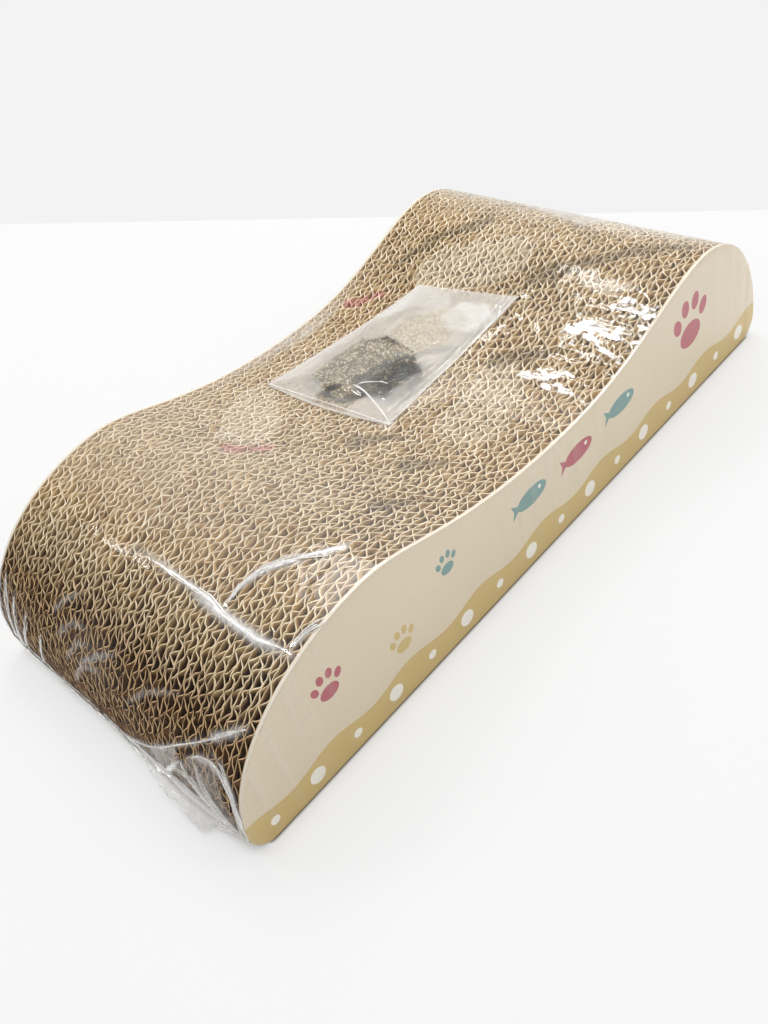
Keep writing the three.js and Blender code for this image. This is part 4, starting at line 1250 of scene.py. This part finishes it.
# Pleats of the wrap and the bag
# The hot film draws its creases and folds together into fine white pleats, which lie on the film over the
# front hump and down the front end. The bag's film has some along its edges and where it rises to the catnip.
BAG_PLEATS = [  # line in the bag's plane, height over the boards at its two ends, pleats
    ([(211, 20), (210, 12), (207.5, 3), (203, -8), (196.5, -20.5)], 5.2, 0.9, 3),
    ([(213, 17), (217, 14), (220.5, 8), (221.5, 3)], 5.4, 5.0, 2),
    ([(189, 70), (192, 45), (194, 15), (196.5, -20)], 0.9, 0.9, 2),
    ([(199, -19), (240, -14), (280, -14), (312, -18)], 0.8, 0.8, 1),
    ([(201, -16), (240, -10), (280, -10), (311, -15)], 0.8, 0.8, 1),
    ([(204, -12), (240, -6), (280, -6), (309, -12)], 1.6, 1.2, 1),
]
FILM_STRANDS = [  # line as (run from the front base, y), number of pleats, how far they spread
    ([(16, 89), (34, 92), (62, 97)], 3, 1.6),
    ([(15, 88), (30, 86), (58, 85)], 2, 1.4),
    ([(17, 84), (32, 78), (52, 72)], 2, 1.6),
    ([(18, 97), (40, 101), (70, 102.5)], 3, 1.2),
    ([(17, 66), (30, 62), (46, 58)], 2, 1.2),
    ([(20, 8), (17, -7), (30, -35), (41, -52), (56, -73), (67, -87), (75, -97)], 1, 0.3),
    ([(60, -78), (67, -87), (76, -98)], 3, 0.9),
    ([(17, -103), (33, -101), (43, -98), (50, -90), (52, -83), (50, -75), (45, -68)], 4, 1.0),
    ([(18, -103), (33, -104), (45, -99), (54, -90), (57, -80)], 3, 0.9),
    ([(17, -103), (26, -82), (34, -67), (30, -54)], 3, 1.4),
    ([(17, -103), (24, -92), (36, -78), (48, -72)], 3, 1.4),
    ([(17, -103), (22, -86), (28, -70), (40, -62)], 3, 1.4),
    ([(17, -102), (17, -84), (18, -70), (19, -58), (21, -45)], 5, 0.8),
    ([(21, -45), (28, -52), (39, -61)], 5, 0.5),
    ([(39, -61), (35, -66)], 2, 0.4),
    ([(296, -103.4), (345, -103.4), (402, -103.4)], 1, 0.0),
    ([(20, 6), (15, -2), (15, -20), (20, -42)], 3, 1.0),
    ([(111, -12), (111, -45), (108, -58), (108, -82), (112, -101)], 5, 0.9),
    ([(109, -50), (108, -66), (108, -82), (112, -99)], 4, 0.5),
    ([(110, -56), (122, -55), (133, -58), (146, -69), (160, -81), (170, -83)], 6, 0.7),
    ([(128, -54), (140, -62), (152, -76), (158, -84)], 2, 1.4),
    ([(112, -98), (120, -99), (130, -103)], 3, 1.4),
]
PLEAT_STEP = 0.9  # between the points of a pleat of the wrap
PLEAT_HEIGHTS = (0.25, 0.3)  # over the flat film at a pleat's ends, and how much more in its middle
PLEAT_LIMIT = 103.6  # from the middle, just outside the covers

bag_pleats = []
for number, (line, start_height, end_height, strands) in enumerate(BAG_PLEATS):
    flat = np.array([(x, y, 0.0) for x, y in line])
    for strand in range(strands):
        share = np.linspace(0.03 * strand, 1 - 0.05 * strand, 50)
        path = along_path(flat, share)
        for _ in range(6):
            path[1:-1] = (path[:-2] + 2 * path[1:-1] + path[2:]) / 4
        path[:, 0] += 0.3 * strand + 0.25 * np.sin(9 * share + number)
        path[:, 2] = wave_height(path[:, 0]) + BASE_Z + start_height + share * (end_height - start_height)
        bag_pleats.append(path + (FRONT_X, 0, 0))
add_piece("bag_film_pleats", pleated(bag_pleats, radius=0.2, haze=0.9), "bag_film")

wrap_pleats = []
for number, (line, strands, spread) in enumerate(FILM_STRANDS):
    flat = np.array([(x, y, 0.0) for x, y in line])
    length = run_along(flat)[-1]
    for strand in range(strands):
        rng = np.random.default_rng(100 * number + strand)
        first, last = rng.uniform(0, 0.3), rng.uniform(0.7, 1.0)
        share = np.linspace(first, last, max(12, int(length * (last - first) / PLEAT_STEP)))
        path = along_path(flat, share)
        path[1:-1] = (path[:-2] + path[1:-1] + path[2:]) / 3
        seed = 7.7 * number + 2.9 * strand
        for axis in (0, 1):
            wander = rough(length * share / 22.0, seed, 1.0, 5.0 * axis)
            path[:, axis] += spread * (wander * 1.5 + 0.4 * rng.normal())
        along = path[:, 0]
        rise = np.sin(np.pi * (share - first) / (last - first))
        off = FILM_GAP + PLEAT_HEIGHTS[0] + PLEAT_HEIGHTS[1] * rise
        x = np.interp(along, run, outline[:, 0]) + np.interp(along, stops, normal_x[:, 0]) * off + FRONT_X
        z = np.interp(along, run, outline[:, 1]) + np.interp(along, stops, normal_z[:, 0]) * off + BASE_Z
        wrap_pleats.append(np.c_[x, np.clip(path[:, 1], -PLEAT_LIMIT, PLEAT_LIMIT), z])
add_piece("shrink_film_pleats", pleated(wrap_pleats, radius=0.25, haze=0.92), "shrink_film")

# Crumpled ear
# At the front right corner a torn flap of the two webs is left over from the seam. It stands out at the foot
# of the end, fanned into pleats and crumpled, and its edge is drawn into ribs. Heights are over the table.
EAR_ROOT = [(-0.9, -20, 9.8), (-1.2, -40, 9.5), (-1.4, -60, 9), (-1.0, -80, 9), (0.0, -99, 10)]
EAR_EDGE = [(-1.4, -18, 8.5), (-4.8, -33, 7), (-7.4, -46, 5.5), (-8.2, -60, 4), (-9.0, -74, 2.2),
            (-4.0, -79, 3.5), (-2.0, -89, 5), (-0.2, -99, 8)]
EAR_POINTS = (121, 22)  # along the ear, and from its root to its edge
EAR_PLEATS = 9
EAR_RIBS = [(2, 26), (34, 52), (60, 92), (96, 119)]  # from which to which point of the edge
EAR_SHINE = 3.0

a, b = np.meshgrid(np.linspace(0, 1, EAR_POINTS[0]), np.linspace(0, 1, EAR_POINTS[1]), indexing="ij")
ear = along_path(EAR_ROOT, a) * (1 - b[..., None]) + along_path(EAR_EDGE, a) * b[..., None]
crumple = 1.7 * rough(a * 60, b * 6, 4.0, 51.0) + 0.6 * rough(a * 60, b * 9, 1.6, 52.0)
fan = np.abs(((a * EAR_PLEATS + 0.35 * rough(a * 40, b * 8, 6.0, 53.0)) % 1) - 0.5) * 2
swing = np.sin(np.pi * a) ** 0.4 * (0.25 + 0.75 * b)
ear[..., 2] += swing * (1.5 * (fan - 0.5) + crumple)
ear[..., 0] += swing * 0.9 * rough(a * 60, b * 8, 3.0, 54.0)
ear[..., 0] = np.minimum(ear[..., 0], -0.5 + 0.7 * (1 - np.sin(np.pi * a)))
ear[..., 2] = np.maximum(ear[..., 2], 0.5)
# The whiter crests of the pleats and the white blotches are painted highlights over the film's own milky
# white.
white = 0.34 + 0.30 * rough(a * 60, b * 8, 9.0, 56.0) + 0.5 * np.clip(fan - 0.72, 0, 1)
white = white + 0.2 * np.exp(-((1 - b) / 0.06) ** 2)
white = white + 2.0 * np.clip(rough(a * 60, b * 8, 4.0, 55.0) - 0.25, 0, 1)
x, y, z = np.moveaxis(ear, -1, 0)
ear_mesh = sheet_mesh("crumpled_film_ear", x, y, z, quads(*EAR_POINTS, turned=True), white,
                      np.full(white.size, EAR_SHINE), gathered_film)
add_piece("crumpled_film_ear", ear_mesh, "shrink_film")
ribs = [ear[first:last, -1] + (FRONT_X, 0, 0.1) for first, last in EAR_RIBS]
add_piece("film_ear_pleats", pleated(ribs, radius=0.15, haze=0.9), "shrink_film")
